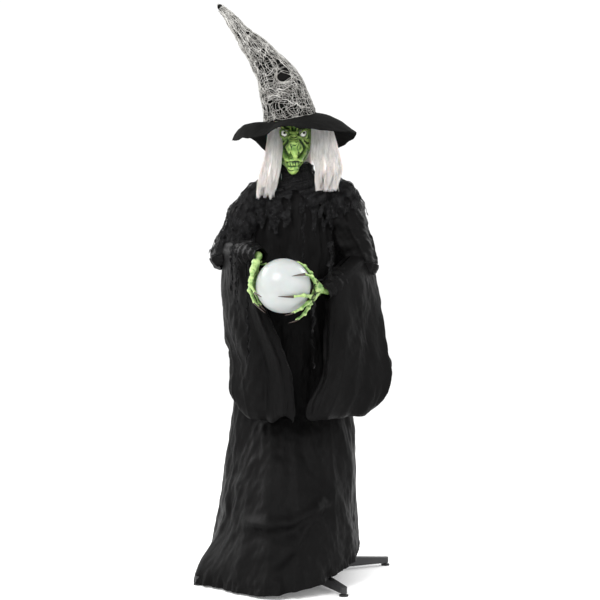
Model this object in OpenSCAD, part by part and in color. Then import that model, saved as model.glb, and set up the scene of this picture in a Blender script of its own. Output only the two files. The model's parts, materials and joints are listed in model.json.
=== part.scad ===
// Standing animated witch figure holding a lit globe.
// Frame: origin on the floor under the pole, +Z up, the figure faces -Y.
// "right" and "left" are the figure's own sides: its right hand is at -X.

/* [Stand] */
// Distance from the pole to the middle of each foot
leg_reach = 290; // [250:5:310]
// Turn of the four-leg base about the pole
base_turn = 26; // [20:1:32]
// Thickness of a leg blade
leg_t = 18; // [14:1:22]
// Height of a leg where it enters the hub
leg_h = 37; // [30:1:37]
// Outer radius of the lower pole
pole_r = 12.5; // [12.5:0.5:13]
// Top of the lower pole
pole_joint_z = 520; // [480:5:560]

/* [Torso] */
// Underside of the electronics housing
torso_z = 880; // [878:1:884]
// Width of the electronics housing
torso_w = 150; // [146:1:154]
// Half span of the shoulder pivots
shoulder_x = 115; // [112:1:118]
// Height of the shoulder pivots
shoulder_z = 1058; // [1056:1:1060]

/* [Head] */
// Height of the middle of the head
head_z = 1225; // [1223:1:1227]
// Turn of the face towards the figure's left, as it stands at rest
head_yaw = 0; // [-10:1:15]
// Teeth on the neck gear
gear_teeth = 52; // [52:1:52]
// Teeth on the motor pinion
pinion_teeth = 12; // [12:1:12]
// Gear module
gear_module = 0.8; // [0.8:0.1:0.8]

/* [Globe] */
// Outer radius of the globe
globe_r = 72; // [70:1:72]
// Wall of the globe
globe_wall = 2; // [1.5:0.5:3]

/* [Cloth] */
// Thickness given to every cloth solid
cloth_t = 3; // [2:0.5:3]
// Height of the hem above the floor
hem_z = 4; // [3:1:8]

/* [Hidden] */
$fn = 48;
gap = 0.3;
run = 0.05;

// Stand
hub_r = 48;
hub_z = 10;
hub_top = leg_h + 9.4 + 9;
boss_top = 86;
tongue_r = 24;
screw_circle = 36;
foot_r = 12;
foot_stem_r = 4;
upper_r = pole_r - 1.5;
upper_wall = 1.4;
upper_bottom = pole_joint_z - 80;
button_z = pole_joint_z - 50;
upper_top = 1036;

// Torso
torso_h = 196;
torso_top = torso_z + torso_h;
torso_front = -38;
torso_back = 42;
torso_split = -14;
torso_wall = 2.5;
bar_r = 8;
fork_bridge = 11;
fork_len = 22;
ear_r = 9;
ear_in = 5.3;
ear_out = 9.3;
pin_r = 4;
rod_r = 6;
door_z = torso_z + 14;
door_w = 66;
door_h = 58;

// Neck drive
gear_axis_y = gear_module * (gear_teeth + pinion_teeth) / 2;
gear_z = torso_top + 10;
gear_t = 6;
shaft_r = 4;
motor_r = 10;
flange_z = 1150;

// Arms: elbow and wrist of each side
elbow_right = [-195, 0, 905];
wrist_right = [-96, -200, 884];
elbow_left = [190, 0, 885];
wrist_left = [86, -158, 792];
globe_at = [-30, -220, 804];
globe_cap_dir = unit(wrist_left - globe_at);

function unit(v) = v / norm(v);
function smooth(t) = t * t * (3 - 2 * t);
function between(a, b, t) = a + (b - a) * t;

// A polyhedron skinned over closed rings of points, with flat end caps.
module skin(rings) {
    n = len(rings[0]);
    m = len(rings);
    points = [for (r = rings) each r];
    sides = [for (i = [0 : m - 2], j = [0 : n - 1]) let (k = (j + 1) % n)
        each [[i * n + j, (i + 1) * n + j, (i + 1) * n + k], [i * n + j, (i + 1) * n + k, i * n + k]]];
    low = [for (j = [0 : n - 1]) j];
    high = [for (j = [n - 1 : -1 : 0]) (m - 1) * n + j];
    polyhedron(points, concat(sides, [low, high]), convexity = 8);
}

// A sheet through stacked outlines, each of which runs out along one face and back along the other.
module bent_sheet(rings) {
    n = len(rings[0]);
    m = len(rings);
    points = [for (r = rings) each r];
    sides = [for (i = [0 : m - 2], j = [0 : n - 1]) let (k = (j + 1) % n)
        each [[i * n + j, (i + 1) * n + j, (i + 1) * n + k], [i * n + j, (i + 1) * n + k, i * n + k]]];
    low = [for (j = [0 : n / 2 - 2]) each [[j, j + 1, n - 2 - j], [j, n - 2 - j, n - 1 - j]]];
    high = [for (f = low) [for (i = [2 : -1 : 0]) (m - 1) * n + f[i]]];
    polyhedron(points, concat(sides, low, high), convexity = 8);
}

// A wall between two stacks of rings that have the same count of points, open at both ends.
module wall(outer, inner) {
    n = len(outer[0]);
    m = len(outer);
    s = n * m;
    points = concat([for (r = outer) each r], [for (r = inner) each r]);
    faces = concat(
        [for (i = [0 : m - 2], j = [0 : n - 1]) let (k = (j + 1) % n, a = i * n)
            each [[a + j, a + n + j, a + n + k], [a + j, a + n + k, a + k]]],
        [for (i = [0 : m - 2], j = [0 : n - 1]) let (k = (j + 1) % n, a = s + i * n)
            each [[a + j, a + n + k, a + n + j], [a + j, a + k, a + n + k]]],
        [for (j = [0 : n - 1]) let (k = (j + 1) % n)
            each [[j, k, s + k], [j, s + k, s + j]]],
        [for (j = [0 : n - 1]) let (k = (j + 1) % n, a = (m - 1) * n)
            each [[a + j, s + a + k, a + k], [a + j, s + a + j, s + a + k]]]);
    polyhedron(points, faces, convexity = 8);
}

// One level oval: [z, centre x, centre y, half length, half width, turn, fall], grown by d.
// fall tips the oval: its height drops by fall for each mm along its length.
function oval(o, n, d = 0) = [for (j = [0 : n - 1]) let (
    a = 360 * j / n,
    p = (o[3] + d) * cos(a),
    q = (o[4] + d) * sin(a))
    [o[1] + p * cos(o[5]) - q * sin(o[5]), o[2] + p * sin(o[5]) + q * cos(o[5]), o[0] - o[6] * p]];

module cloth_tube(ovals, n = 28) {
    wall([for (o = ovals) oval(o, n)], [for (o = ovals) oval(o, n, -cloth_t)]);
}

// A round bar from a to b.
module rod(a, b, r) {
    d = b - a;
    translate(a)
        rotate([0, acos(d[2] / norm(d)), atan2(d[1], d[0])])
            cylinder(r = r, h = norm(d));
}

// Moves its children's +Z onto the direction from a to b, starting at a.
module along(a, b) {
    d = b - a;
    translate(a)
        rotate([0, acos(d[2] / norm(d)), atan2(d[1], d[0])])
            children();
}

module ring(r_out, r_in, h) {
    difference() {
        cylinder(r = r_out, h = h);
        translate([0, 0, -1]) cylinder(r = r_in, h = h + 2);
    }
}

// A rectangle from [x0, y0] to [x1, y1] with round corners, as plain squares and circles.
module round_rect(x0, y0, x1, y1, r) {
    translate([x0 + r, y0]) square([x1 - x0 - 2 * r, y1 - y0]);
    translate([x0, y0 + r]) square([x1 - x0, y1 - y0 - 2 * r]);
    for (x = [x0 + r, x1 - r], y = [y0 + r, y1 - r]) translate([x, y]) circle(r);
}

// ---------------------------------------------------------------- stand

function leg_turn(i) = base_turn + 90 * i;

module base_hub() {
    color([0.07, 0.07, 0.08]) difference() {
        union() {
            translate([0, 0, hub_z]) cylinder(r = hub_r, h = hub_top - hub_z);
            translate([0, 0, hub_z]) cylinder(r = 22, h = boss_top - hub_z);
            for (i = [0 : 3]) rotate(leg_turn(i) + 45) translate([0, -3, hub_top - 1]) cube([40, 6, 16]);
        }
        translate([0, 0, hub_z + 4]) cylinder(r = pole_r + run, h = boss_top);
        for (i = [0 : 3]) rotate(leg_turn(i)) {
            translate([tongue_r - 0.2, -leg_t / 2 - 0.2, 0]) cube([40, leg_t + 0.4, leg_h + 9.4]);
            translate([screw_circle, 0, 0]) cylinder(r = 2.1, h = 100, $fn = 24);
        }
    }
}

module leg(i) {
    end_h = 16;
    low = 9;
    color([0.06, 0.06, 0.07]) rotate(leg_turn(i)) difference() {
        union() {
            translate([0, leg_t / 2, 0]) rotate([90, 0, 0]) linear_extrude(leg_t) polygon([
                [tongue_r, low], [leg_reach, low - 1], [leg_reach, low - 1 + end_h],
                [hub_r + 6, low + leg_h], [tongue_r, low + leg_h]]);
            translate([leg_reach, 0, low - 1]) cylinder(r = leg_t / 2, h = end_h);
        }
        translate([screw_circle, 0, 20]) cylinder(r = 2.1, h = 60, $fn = 24);
        translate([leg_reach, 0, 0]) cylinder(r = foot_stem_r + run, h = low + 10, $fn = 32);
    }
}

module levelling_feet() {
    color([0.04, 0.04, 0.04]) for (i = [0 : 3]) rotate(leg_turn(i)) translate([leg_reach, 0, 0]) {
        cylinder(r = foot_r, h = 4);
        cylinder(r = 6, h = 7.6);
        cylinder(r = foot_stem_r, h = 18, $fn = 32);
    }
}

module hub_screws() {
    color([0.5, 0.5, 0.52]) for (i = [0 : 3]) rotate(leg_turn(i)) translate([screw_circle, 0, 0]) {
        translate([0, 0, 24]) cylinder(r = 2, h = hub_top - 24, $fn = 24);
        difference() {
            translate([0, 0, hub_top]) cylinder(r = 4, h = 2.4, $fn = 32);
            translate([-3, -0.5, hub_top + 1.4]) cube([6, 1, 2]);
        }
    }
}

module lower_pole() {
    color([0.1, 0.1, 0.11]) difference() {
        translate([0, 0, hub_z + 4.2]) ring(pole_r, upper_r + run, pole_joint_z - hub_z - 4.2);
        translate([0, 0, button_z]) rotate([-90, 0, 0]) cylinder(r = 4.2, h = 30, $fn = 32);
    }
}

module upper_pole() {
    color([0.12, 0.12, 0.13]) difference() {
        translate([0, 0, upper_bottom]) ring(upper_r, upper_r - upper_wall, upper_top - upper_bottom);
        translate([0, 0, button_z]) rotate([-90, 0, 0]) cylinder(r = 4.2, h = 30, $fn = 32);
    }
}

module pole_collar() {
    color([0.05, 0.05, 0.05]) difference() {
        translate([0, 0, pole_joint_z - 12]) cylinder(r = pole_r + 4, h = 24);
        translate([0, 0, pole_joint_z - 13]) cylinder(r = pole_r + run, h = 13 + gap);
        translate([0, 0, pole_joint_z - 13]) cylinder(r = upper_r + run, h = 40);
    }
}

module pole_button() {
    color([0.6, 0.6, 0.62]) translate([0, 0, button_z]) rotate([-90, 0, 0]) {
        translate([0, 0, 3]) cylinder(r = 5, h = 2.2, $fn = 32);
        translate([0, 0, 5]) cylinder(r = 3.6, h = 9, $fn = 32);
        translate([0, 0, 14]) sphere(r = 3.6, $fn = 32);
    }
}

// ---------------------------------------------------------------- torso

module torso_block(inset) {
    x = torso_w / 2 - inset;
    translate([0, 0, torso_z + inset]) linear_extrude(torso_h - 2 * inset)
        round_rect(-x, torso_front + inset, x, torso_back - inset, 14 - inset);
}

module torso_shell() {
    difference() {
        torso_block(0);
        torso_block(torso_wall);
    }
}

module screw_posts(r, from, to) {
    for (x = [-60, 60], z = [torso_z + 14, torso_top - 34])
        translate([x, from, z]) rotate([-90, 0, 0]) cylinder(r = r, h = to - from, $fn = 24);
}

module torso_front_shell() {
    color([0.1, 0.1, 0.1]) difference() {
        union() {
            intersection() {
                torso_shell();
                translate([-200, -200, 0]) cube([400, 200 + torso_split - 0.1, 2000]);
            }
            screw_posts(5, torso_front + 2, torso_split - 0.1);
        }
        screw_posts(1.6, torso_front + 6, 0);
        for (a = [0 : 30 : 330]) translate([0, torso_front - 1, torso_z + 62])
            rotate([-90, a, 0]) translate([14, 0, 0]) cylinder(r = 2.2, h = 6, $fn = 16);
        for (a = [0 : 60 : 300]) translate([0, torso_front - 1, torso_z + 62])
            rotate([-90, a, 0]) translate([6.5, 0, 0]) cylinder(r = 2.2, h = 6, $fn = 16);
    }
}

module torso_back_shell() {
    color([0.1, 0.1, 0.1]) difference() {
        union() {
            intersection() {
                torso_shell();
                translate([-200, torso_split, 0]) cube([400, 200, 2000]);
            }
            screw_posts(5, torso_split, torso_back - 1);
        }
        screw_posts(1.8, -60, 60);
        screw_posts(3.4, torso_back - 6, 80);
        translate([0, 0, torso_z - 1]) cylinder(r = upper_r + 0.2, h = 6);
        translate([-torso_w, 0, shoulder_z]) rotate([0, 90, 0]) cylinder(r = bar_r + 0.2, h = 2 * torso_w);
        translate([-door_w / 2 + 4, torso_back - 6, door_z + 2]) cube([door_w - 8, 12, door_h - 8]);
        translate([48, torso_back - 6, door_z + 20]) cube([6, 12, 16]);
        translate([0, gear_axis_y, torso_top - 6]) cylinder(r = motor_r + 0.4, h = 12);
        translate([0, 0, torso_top - 6]) cylinder(r = 6, h = 12);
    }
}

module torso_screws() {
    color([0.55, 0.55, 0.57]) {
        screw_posts(1.5, torso_front + 8, torso_back - 5.9);
        screw_posts(3, torso_back - 5.95, torso_back - 3.9);
    }
}

module spine_bracket() {
    color([0.16, 0.16, 0.17]) difference() {
        translate([-22, torso_split + 0.4, 985]) cube([44, 28, 86]);
        translate([0, 0, 900]) cylinder(r = upper_r + run, h = upper_top - 900 + gap);
        translate([-40, 0, shoulder_z]) rotate([0, 90, 0]) cylinder(r = bar_r + run, h = 80);
    }
}

module shoulder_bar() {
    end = shoulder_x - fork_len - gap;
    color([0.2, 0.2, 0.22]) translate([-end, 0, shoulder_z]) rotate([0, 90, 0]) ring(bar_r, bar_r - 1.5, 2 * end);
}

// A hinge fork about local Z: two ears and a bridge on the -X side.
module fork() {
    difference() {
        union() {
            for (s = [ear_in, -ear_out]) translate([0, 0, s]) {
                cylinder(r = ear_r, h = ear_out - ear_in);
                translate([-fork_len, -ear_r, 0]) cube([fork_len, 2 * ear_r, ear_out - ear_in]);
            }
            translate([-fork_len, -ear_r, -ear_out]) cube([fork_len - fork_bridge, 2 * ear_r, 2 * ear_out]);
        }
        translate([0, 0, -20]) cylinder(r = pin_r + run, h = 40, $fn = 32);
    }
}

// The eye that turns in a fork, about local Z.
module eye_disc() {
    translate([0, 0, -5]) cylinder(r = ear_r, h = 10);
}

module eye_bore() {
    translate([0, 0, -20]) cylinder(r = pin_r + run, h = 40, $fn = 32);
}

module hinge_pin() {
    translate([0, 0, -11]) cylinder(r = pin_r, h = 22, $fn = 32);
    translate([0, 0, ear_out + 0.2]) cylinder(r = 6, h = 1.8, $fn = 32);
    translate([0, 0, -ear_out - 1.4]) cylinder(r = 5.6, h = 1.2, $fn = 32);
}

module shoulder_forks() {
    color([0.3, 0.3, 0.32]) for (s = [-1, 1])
        translate([s * shoulder_x, 0, shoulder_z]) mirror([s < 0 ? 1 : 0, 0, 0]) rotate([90, 0, 0]) fork();
}

module shoulder_pins() {
    color([0.6, 0.6, 0.62]) for (s = [-1, 1])
        translate([s * shoulder_x, 0, shoulder_z]) rotate([90, 0, 0]) hinge_pin();
}

module speaker() {
    color([0.2, 0.2, 0.2]) translate([0, torso_front + torso_wall + 0.4, torso_z + 62]) rotate([-90, 0, 0]) {
        cylinder(r = 25, h = 4);
        translate([0, 0, 4]) cylinder(r1 = 22, r2 = 12, h = 8);
        translate([0, 0, 12]) cylinder(r = 12, h = 5);
    }
}

module circuit_board() {
    color([0.1, 0.35, 0.15]) {
        translate([-46, -20, torso_z + 100]) difference() {
            cube([92, 1.6, 52]);
            for (x = [5, 87], z = [5, 47]) translate([x, -1, z]) rotate([-90, 0, 0]) cylinder(r = 1.6, h = 4, $fn = 16);
        }
        translate([-14, -24, torso_z + 118]) cube([16, 4.01, 16]);
        for (i = [0 : 3]) translate([14 + 9 * i, -26, torso_z + 110]) cube([5, 6.01, 8]);
    }
}

module battery_tray() {
    color([0.12, 0.12, 0.12]) difference() {
        translate([-door_w / 2 + 1, 17, door_z - 4]) cube([door_w - 2, torso_back - torso_wall - 17 - gap, 62]);
        for (i = [0 : 2]) translate([-27, 20, door_z + i * 16.5]) cube([54, 30, 15.6]);
    }
}

module batteries() {
    color([0.75, 0.6, 0.2]) for (i = [0 : 2]) translate([0, 28, door_z + 7.8 + i * 16.5])
        rotate([0, 90, 0]) rotate([0, i % 2 * 180, 0]) {
            translate([0, 0, -24.5]) cylinder(r = 7.2, h = 48.5, $fn = 32);
            translate([0, 0, 24]) cylinder(r = 2.7, h = 1.6, $fn = 24);
        }
}

module battery_door() {
    color([0.09, 0.09, 0.09]) difference() {
        union() {
            translate([-door_w / 2, torso_back + gap, door_z - 2]) cube([door_w, 2.2, door_h + 4]);
            translate([-door_w / 2 + 5, torso_back - 1.8, door_z + 3]) cube([door_w - 10, 4, 4]);
        }
        for (i = [0 : 4]) translate([-14, torso_back + 1.7, door_z + 38 + 3 * i]) cube([28, 3, 1.2]);
    }
}

module mode_switch() {
    color([0.7, 0.1, 0.1]) {
        translate([49, torso_back - 8, door_z + 21]) cube([4, 12, 6]);
        translate([45, torso_back - 10, door_z + 17]) cube([12, 3, 14]);
    }
}

// ---------------------------------------------------------------- neck drive

// Outline of an involute gear with n teeth, thinned by play for running clearance.
function involute(rb, t) = rb * [cos(t) + t * PI / 180 * sin(t), sin(t) - t * PI / 180 * cos(t)];
function inv_angle(rb, r) = let (t = sqrt(r * r / (rb * rb) - 1) * 180 / PI) t - atan(t * PI / 180);
function turned(p, a) = [p[0] * cos(a) - p[1] * sin(a), p[0] * sin(a) + p[1] * cos(a)];
function gear_outline(n, m, play) = let (
    pr = n * m / 2,
    rb = pr * cos(20),
    ro = pr + 0.9 * m,
    rr = pr - 1.2 * m,
    start = max(rb, rr + 0.1),
    half = 90 / n - play / pr * 90 / PI + inv_angle(rb, pr),
    flank = [for (i = [0 : 5]) let (r = between(start, ro, i / 5)) [r, half - inv_angle(rb, r)]])
    [for (k = [0 : n - 1]) let (a = 360 * k / n) each concat(
        [turned([rr, 0], a - half - 0.4)],
        [for (f = flank) turned([f[0], 0], a - f[1])],
        [for (i = [5 : -1 : 0]) turned([flank[i][0], 0], a + flank[i][1])],
        [turned([rr, 0], a + half + 0.4)])];

module gearbox_base() {
    color([0.8, 0.8, 0.76]) difference() {
        union() {
            translate([0, 0, torso_top + 0.2]) linear_extrude(3.6) round_rect(-34, -30, 34, 42, 8);
            translate([0, 0, torso_top + 0.2]) cylinder(r = 9, h = 7);
        }
        translate([0, 0, torso_top - 2]) cylinder(r = shaft_r + run, h = 20, $fn = 32);
        translate([0, gear_axis_y, torso_top - 2]) cylinder(r = motor_r + 0.1, h = 20);
    }
}

module gearbox_cover() {
    low = torso_top + 4;
    high = torso_top + 22;
    color([0.8, 0.8, 0.76]) difference() {
        union() {
            translate([0, 0, low]) linear_extrude(high - low) round_rect(-34, -30, 34, 42, 8);
            translate([0, 0, high - 1]) cylinder(r = 12, h = 9);
        }
        translate([0, 0, low - 1]) linear_extrude(high - low - 1) round_rect(-32, -28, 32, 40, 6);
        translate([0, 0, low]) cylinder(r = 6.5, h = 40, $fn = 40);
    }
}

module neck_bush() {
    color([0.8, 0.65, 0.3]) translate([0, 0, torso_top + 20.2]) {
        ring(6.45, shaft_r + run, 10, $fn = 40);
        translate([0, 0, 10]) ring(9, shaft_r + run, 1.5, $fn = 40);
    }
}

module head_motor() {
    color([0.65, 0.65, 0.67]) translate([0, gear_axis_y, 0]) difference() {
        union() {
            translate([0, 0, torso_top - 26]) cylinder(r = motor_r, h = 31);
            translate([0, 0, torso_top - 28]) cylinder(r = 3, h = 3, $fn = 32);
            translate([0, 0, torso_top + 5]) cylinder(r = 3, h = 2, $fn = 32);
        }
        translate([0, 0, torso_top - 20]) cylinder(r = 1 + run, h = 40, $fn = 24);
    }
}

module motor_shaft() {
    color([0.75, 0.75, 0.77]) translate([0, gear_axis_y, torso_top - 19]) cylinder(r = 1, h = 37, $fn = 24);
}

module motor_pinion() {
    color([0.85, 0.7, 0.35]) translate([0, gear_axis_y, gear_z - 1]) difference() {
        rotate(180 / pinion_teeth + 90) linear_extrude(gear_t + 2) polygon(gear_outline(pinion_teeth, gear_module, 0.12));
        translate([0, 0, -1]) cylinder(r = 1 + run, h = 20, $fn = 24);
    }
}

module neck_gear() {
    color([0.92, 0.92, 0.88]) translate([0, 0, gear_z]) difference() {
        union() {
            rotate(90) linear_extrude(gear_t) polygon(gear_outline(gear_teeth, gear_module, 0.12));
            cylinder(r = 9, h = gear_t + 2);
        }
        translate([0, 0, -1]) cylinder(r = shaft_r + run, h = 20, $fn = 32);
        for (a = [45 : 90 : 315]) rotate(a) translate([13.5, 0, -1]) cylinder(r = 3.2, h = 20, $fn = 24);
    }
}

module neck_shaft() {
    color([0.7, 0.7, 0.72]) translate([0, 0, torso_top + 1]) cylinder(r = shaft_r, h = flange_z + 12 - torso_top, $fn = 32);
}

module neck_flange() {
    color([0.15, 0.15, 0.15]) translate([0, 0, flange_z]) difference() {
        union() {
            cylinder(r = 22, h = 4);
            translate([0, 0, -12]) cylinder(r = 9, h = 13);
        }
        translate([0, 0, -20]) cylinder(r = shaft_r + run, h = 40, $fn = 32);
    }
}

// ---------------------------------------------------------------- head

head_x = -3;
eye_dx = 25;
eye_y = -61;
eye_r = 11.5;
skull_r = 45;
skull_h = 66;

// Half profile of an egg about the head's middle, from the angle a0 up to the crown.
function egg(r, h, a0) = [for (a = [a0 : (90 - a0) / 14 : 90.01]) [r * cos(a) + 0.001, h * sin(a)]];

module skull_form() {
    low = -65;
    color([0.75, 0.72, 0.66]) rotate(head_yaw) translate([head_x, 0, head_z]) difference() {
        rotate_extrude() polygon(concat(
            [[0, skull_h * sin(low)]], egg(skull_r, skull_h, low), [[0, skull_h]]));
        rotate_extrude() polygon(concat(
            [[0, (skull_h - 3) * sin(low) + 0.5]], egg(skull_r - 2.5, skull_h - 2.5, low + 3), [[0, skull_h - 2.5]]));
        for (s = [-1, 1]) translate([s * eye_dx, eye_y, 0]) rotate([-90, 0, 0]) cylinder(r = eye_r + 0.8, h = 34);
        translate([-head_x, 0, -80]) cylinder(r = shaft_r + 1, h = 40);
    }
}

// Height, half width, depth and depth of the rear edge of each level of the mask, chin first.
mask_levels = [
    [1113, 13, 86, 56], [1121, 22, 93, 54], [1133, 31, 92, 50], [1148, 38, 86, 44], [1166, 44, 81, 22],
    [1184, 47.5, 78, 4], [1202, 50, 75, 0], [1220, 51, 72, 0], [1238, 51, 75, 0], [1256, 49.5, 71, 0]];
mask_nose = 40;

function nose_at(z) = mask_nose * pow(max(0, 1 - pow((z - 1172) / 42, 2)), 1.2);
// The inner edge is set back at the top and the chin, which leaves each end a slanted lip.
function lip_at(z, d) = d == 0 ? 0 : z > 1250 ? -1.2 : z < 1115 ? 1.2 : 0;
function mask_front(l, a, d) = let (x = (l[1] - d) * sin(a))
    [head_x + x, -l[3] - (l[2] - d - l[3]) * cos(a) - nose_at(l[0]) * exp(-pow(x / 11, 2)), l[0] + lip_at(l[0], d)];
function mask_ring(l, n) = concat(
    [for (j = [0 : n]) mask_front(l, between(-84, 84, j / n), 0)],
    [for (j = [n : -1 : 0]) mask_front(l, between(-84, 84, j / n), 3.4)]);

module face_mask() {
    color([0.35, 0.6, 0.2]) rotate(head_yaw) difference() {
        bent_sheet([for (l = mask_levels) mask_ring(l, 20)]);
        for (s = [-1, 1]) translate([head_x + s * eye_dx, -90, head_z - 1]) rotate([-90, 0, 0])
            cylinder(r = eye_r + 0.6, h = 50, $fn = 32);
    }
}

module eyeball(s) {
    color([0.95, 0.95, 0.9]) rotate(head_yaw) translate([head_x + s * eye_dx, eye_y, head_z - 1]) sphere(r = eye_r);
}

module eye_lamps() {
    color([0.9, 0.9, 0.8]) for (s = [-1, 1]) rotate(head_yaw) translate([head_x + s * eye_dx, eye_y + eye_r + 0.3, head_z - 1])
        rotate([-90, 0, 0]) {
            cylinder(r = 2.5, h = 6, $fn = 24);
            translate([0, 0, 6]) cylinder(r = 3, h = 1.2, $fn = 24);
        }
}

module wig_cap() {
    color([0.82, 0.8, 0.76]) rotate(head_yaw) translate([head_x, 0, 0]) difference() {
        translate([0, 0, 1260]) cylinder(r1 = 56, r2 = 46, h = 24);
        translate([0, 0, head_z]) rotate_extrude() polygon(concat([[0, -20]], egg(skull_r + 0.6, skull_h + 0.6, -10), [[0, skull_h + 0.6]]));
    }
}

module hair_lock(ovals) {
    color([0.85, 0.83, 0.8]) skin([for (o = ovals) oval(o, 16)]);
}

hair_right_ovals = [
    [1056, -82, -84, 22, 9, -18, 0], [1074, -80, -82, 27, 14, -18, 0], [1110, -75, -75, 25, 17, -20, 0],
    [1150, -69, -63, 20, 19, -10, 0], [1200, -67, -50, 19, 20, 0, 0], [1246, -70, -40, 16, 18, 0, 0]];
hair_left_ovals = [
    [1084, 91, -74, 26, 9, 15, 0], [1100, 93, -72, 34, 13, 15, 0], [1125, 91, -67, 36, 17, 15, 0],
    [1155, 84, -60, 33, 19, 12, 0], [1200, 76, -48, 27, 20, 6, 0], [1246, 70, -40, 18, 18, 0, 0]];
hair_back_ovals = [
    [1126, 0, 60, 40, 10, 0, 0], [1170, -2, 62, 46, 13, 0, 0], [1220, -3, 61, 44, 13, 0, 0], [1250, -3, 58, 34, 10, 0, 0]];

// Hat: rings along a leaning cone, as [x, z, radius, lean].
hat_rings = [
    [-14, 1281, 72, 10.5], [-26, 1325, 67, 14], [-42, 1369, 60, 20], [-72, 1423, 44, 30],
    [-114, 1473, 31, 38], [-153, 1518, 20, 41], [-184, 1559, 13, 44], [-212, 1587, 9, 46]];
hat_skin_n = 28;

function hat_circle(h, d) = [for (j = [0 : hat_skin_n - 1]) let (a = 360 * j / hat_skin_n, p = (h[2] - d) * cos(a))
    [h[0] + p * cos(h[3]), (h[2] - d) * sin(a), h[1] + p * sin(h[3])]];

module hat_cone() {
    color([0.55, 0.54, 0.52]) wall([for (h = hat_rings) hat_circle(h, 0)], [for (h = hat_rings) hat_circle(h, 2.5)]);
}

// Brim: height of the edge round the compass, and how the cloth falls to it.
brim_r = [-14, 0, 172];
function brim_edge(a) = 1222 + 16 * cos(a) * (cos(a) > 0 ? 0.7 : 0.3) - 22 * sin(a) * (sin(a) > 0 ? 1.1 : -0.4);
function brim_point(a, t, d) = let (r = between(67, brim_r[2] + 6 * cos(3 * a), t), root = 1279 + 12 * cos(a) - 4)
    [brim_r[0] + r * cos(a), r * sin(a), between(root, brim_edge(a), pow(t, 1.5)) - d];

module hat_brim() {
    steps = 6;
    n = 36;
    color([0.06, 0.06, 0.07]) skin_ring([for (j = [0 : n - 1]) let (a = 360 * j / n) concat(
        [for (i = [0 : steps]) brim_point(a, i / steps, 0)],
        [for (i = [steps : -1 : 0]) brim_point(a, i / steps, 3)])]);
}

// A closed loop of sections, each joined to the next and the last to the first.
module skin_ring(sections) {
    m = len(sections);
    n = len(sections[0]);
    polyhedron([for (s = sections) each s], [for (i = [0 : m - 1], j = [0 : n - 1]) let (
        a = i * n, b = (i + 1) % m * n, k = (j + 1) % n)
        each [[a + j, b + k, a + k], [a + j, b + j, b + k]]], convexity = 8);
}

// ---------------------------------------------------------------- arms

module upper_arm(side, elbow) {
    pivot = [side * shoulder_x, 0, shoulder_z];
    root = elbow + [0, (fork_len + fork_bridge) / 2, 2];
    color([0.25, 0.25, 0.27]) difference() {
        union() {
            translate(pivot) rotate([90, 0, 0]) eye_disc();
            rod(pivot + 5 * unit(root - pivot), pivot + 16 * unit(root - pivot), 4);
            rod(pivot + 14 * unit(root - pivot), root, rod_r);
            translate(elbow) rotate(-90) fork();
        }
        translate(pivot) rotate([90, 0, 0]) eye_bore();
    }
}

module forearm(elbow, wrist) {
    d = unit(wrist - elbow);
    flat = unit([d[0], d[1], 0]);
    color([0.25, 0.25, 0.27]) difference() {
        union() {
            translate(elbow) eye_disc();
            rod(elbow + 6 * flat, elbow + 17 * flat, 4.5);
            rod(elbow + 15 * flat, wrist - 13 * d, 4.5);
        }
        translate(elbow) eye_bore();
    }
}

module elbow_pin(elbow) {
    color([0.6, 0.6, 0.62]) translate(elbow) hinge_pin();
}

// Fingers as chains of points about the globe's middle, each with its radii.
finger_r = [5.6, 5, 4.6, 3.4, 1.6];
right_fingers = [
    [[-80, -22, 36], [-82, -28, 20], [-85, -32, 2], [-73, -44, -16], [-54, -56, -30]],
    [[-80, -6, 36], [-85, -8, 14], [-88, -8, -12], [-76, -14, -42], [-52, -16, -66]],
    [[-78, 10, 34], [-82, 10, 10], [-84, 8, -16], [-70, 6, -48], [-46, 2, -72]],
    [[-72, 24, 34], [-76, 24, 12], [-76, 22, -14], [-63, 20, -44], [-45, 16, -67]],
    [[-68, 6, 62], [-58, 24, 60], [-46, 42, 56], [-36, 54, 50], [-24, 64, 44]]];
right_palm = [[-66, 18, 78, 9.5], [-72, 6, 60, 9], [-79, -16, 42, 7.5], [-77, 12, 42, 7.5], [-72, 22, 40, 7]];
left_fingers = [
    [[86, 0, -10], [86, -10, 4], [74, -26, 24], [58, -48, 29], [22, -75, 24]],
    [[80, -8, -28], [72, -28, -28], [54, -54, -25], [30, -68, -28], [-14, -73, -28]],
    [[76, 0, -36], [64, -24, -44], [48, -38, -58], [30, -42, -68], [4, -36, -77]],
    [[72, 6, -44], [66, 0, -56], [56, -4, -72], [40, -10, -86], [14, -14, -97]],
    [[82, 26, 14], [72, 32, 34], [56, 38, 52], [40, 42, 62], [20, 46, 68]]];
left_palm = [[112, 58, -12, 9.5], [96, 40, -10, 9], [85, 4, -14, 7.5], [80, 4, -30, 7], [88, 30, 6, 7]];

module hand(fingers, palm) {
    color([0.4, 0.6, 0.25]) translate(globe_at) {
        for (f = fingers, i = [0 : 3]) hull() {
            translate(f[i]) sphere(r = finger_r[i], $fn = 12);
            translate(f[i + 1]) sphere(r = finger_r[i + 1], $fn = 12);
        }
        for (i = [1 : 4]) hull() {
            for (p = [palm[0], palm[1], palm[i], palm[i % 4 + 1]]) translate([p[0], p[1], p[2]]) sphere(r = p[3], $fn = 14);
        }
    }
}

module globe() {
    color([0.95, 0.95, 0.93]) difference() {
        translate(globe_at) sphere(r = globe_r, $fn = 96);
        translate(globe_at) sphere(r = globe_r - globe_wall, $fn = 96);
        along(globe_at, wrist_left) cylinder(r = 18, h = 90);
    }
}

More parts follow.
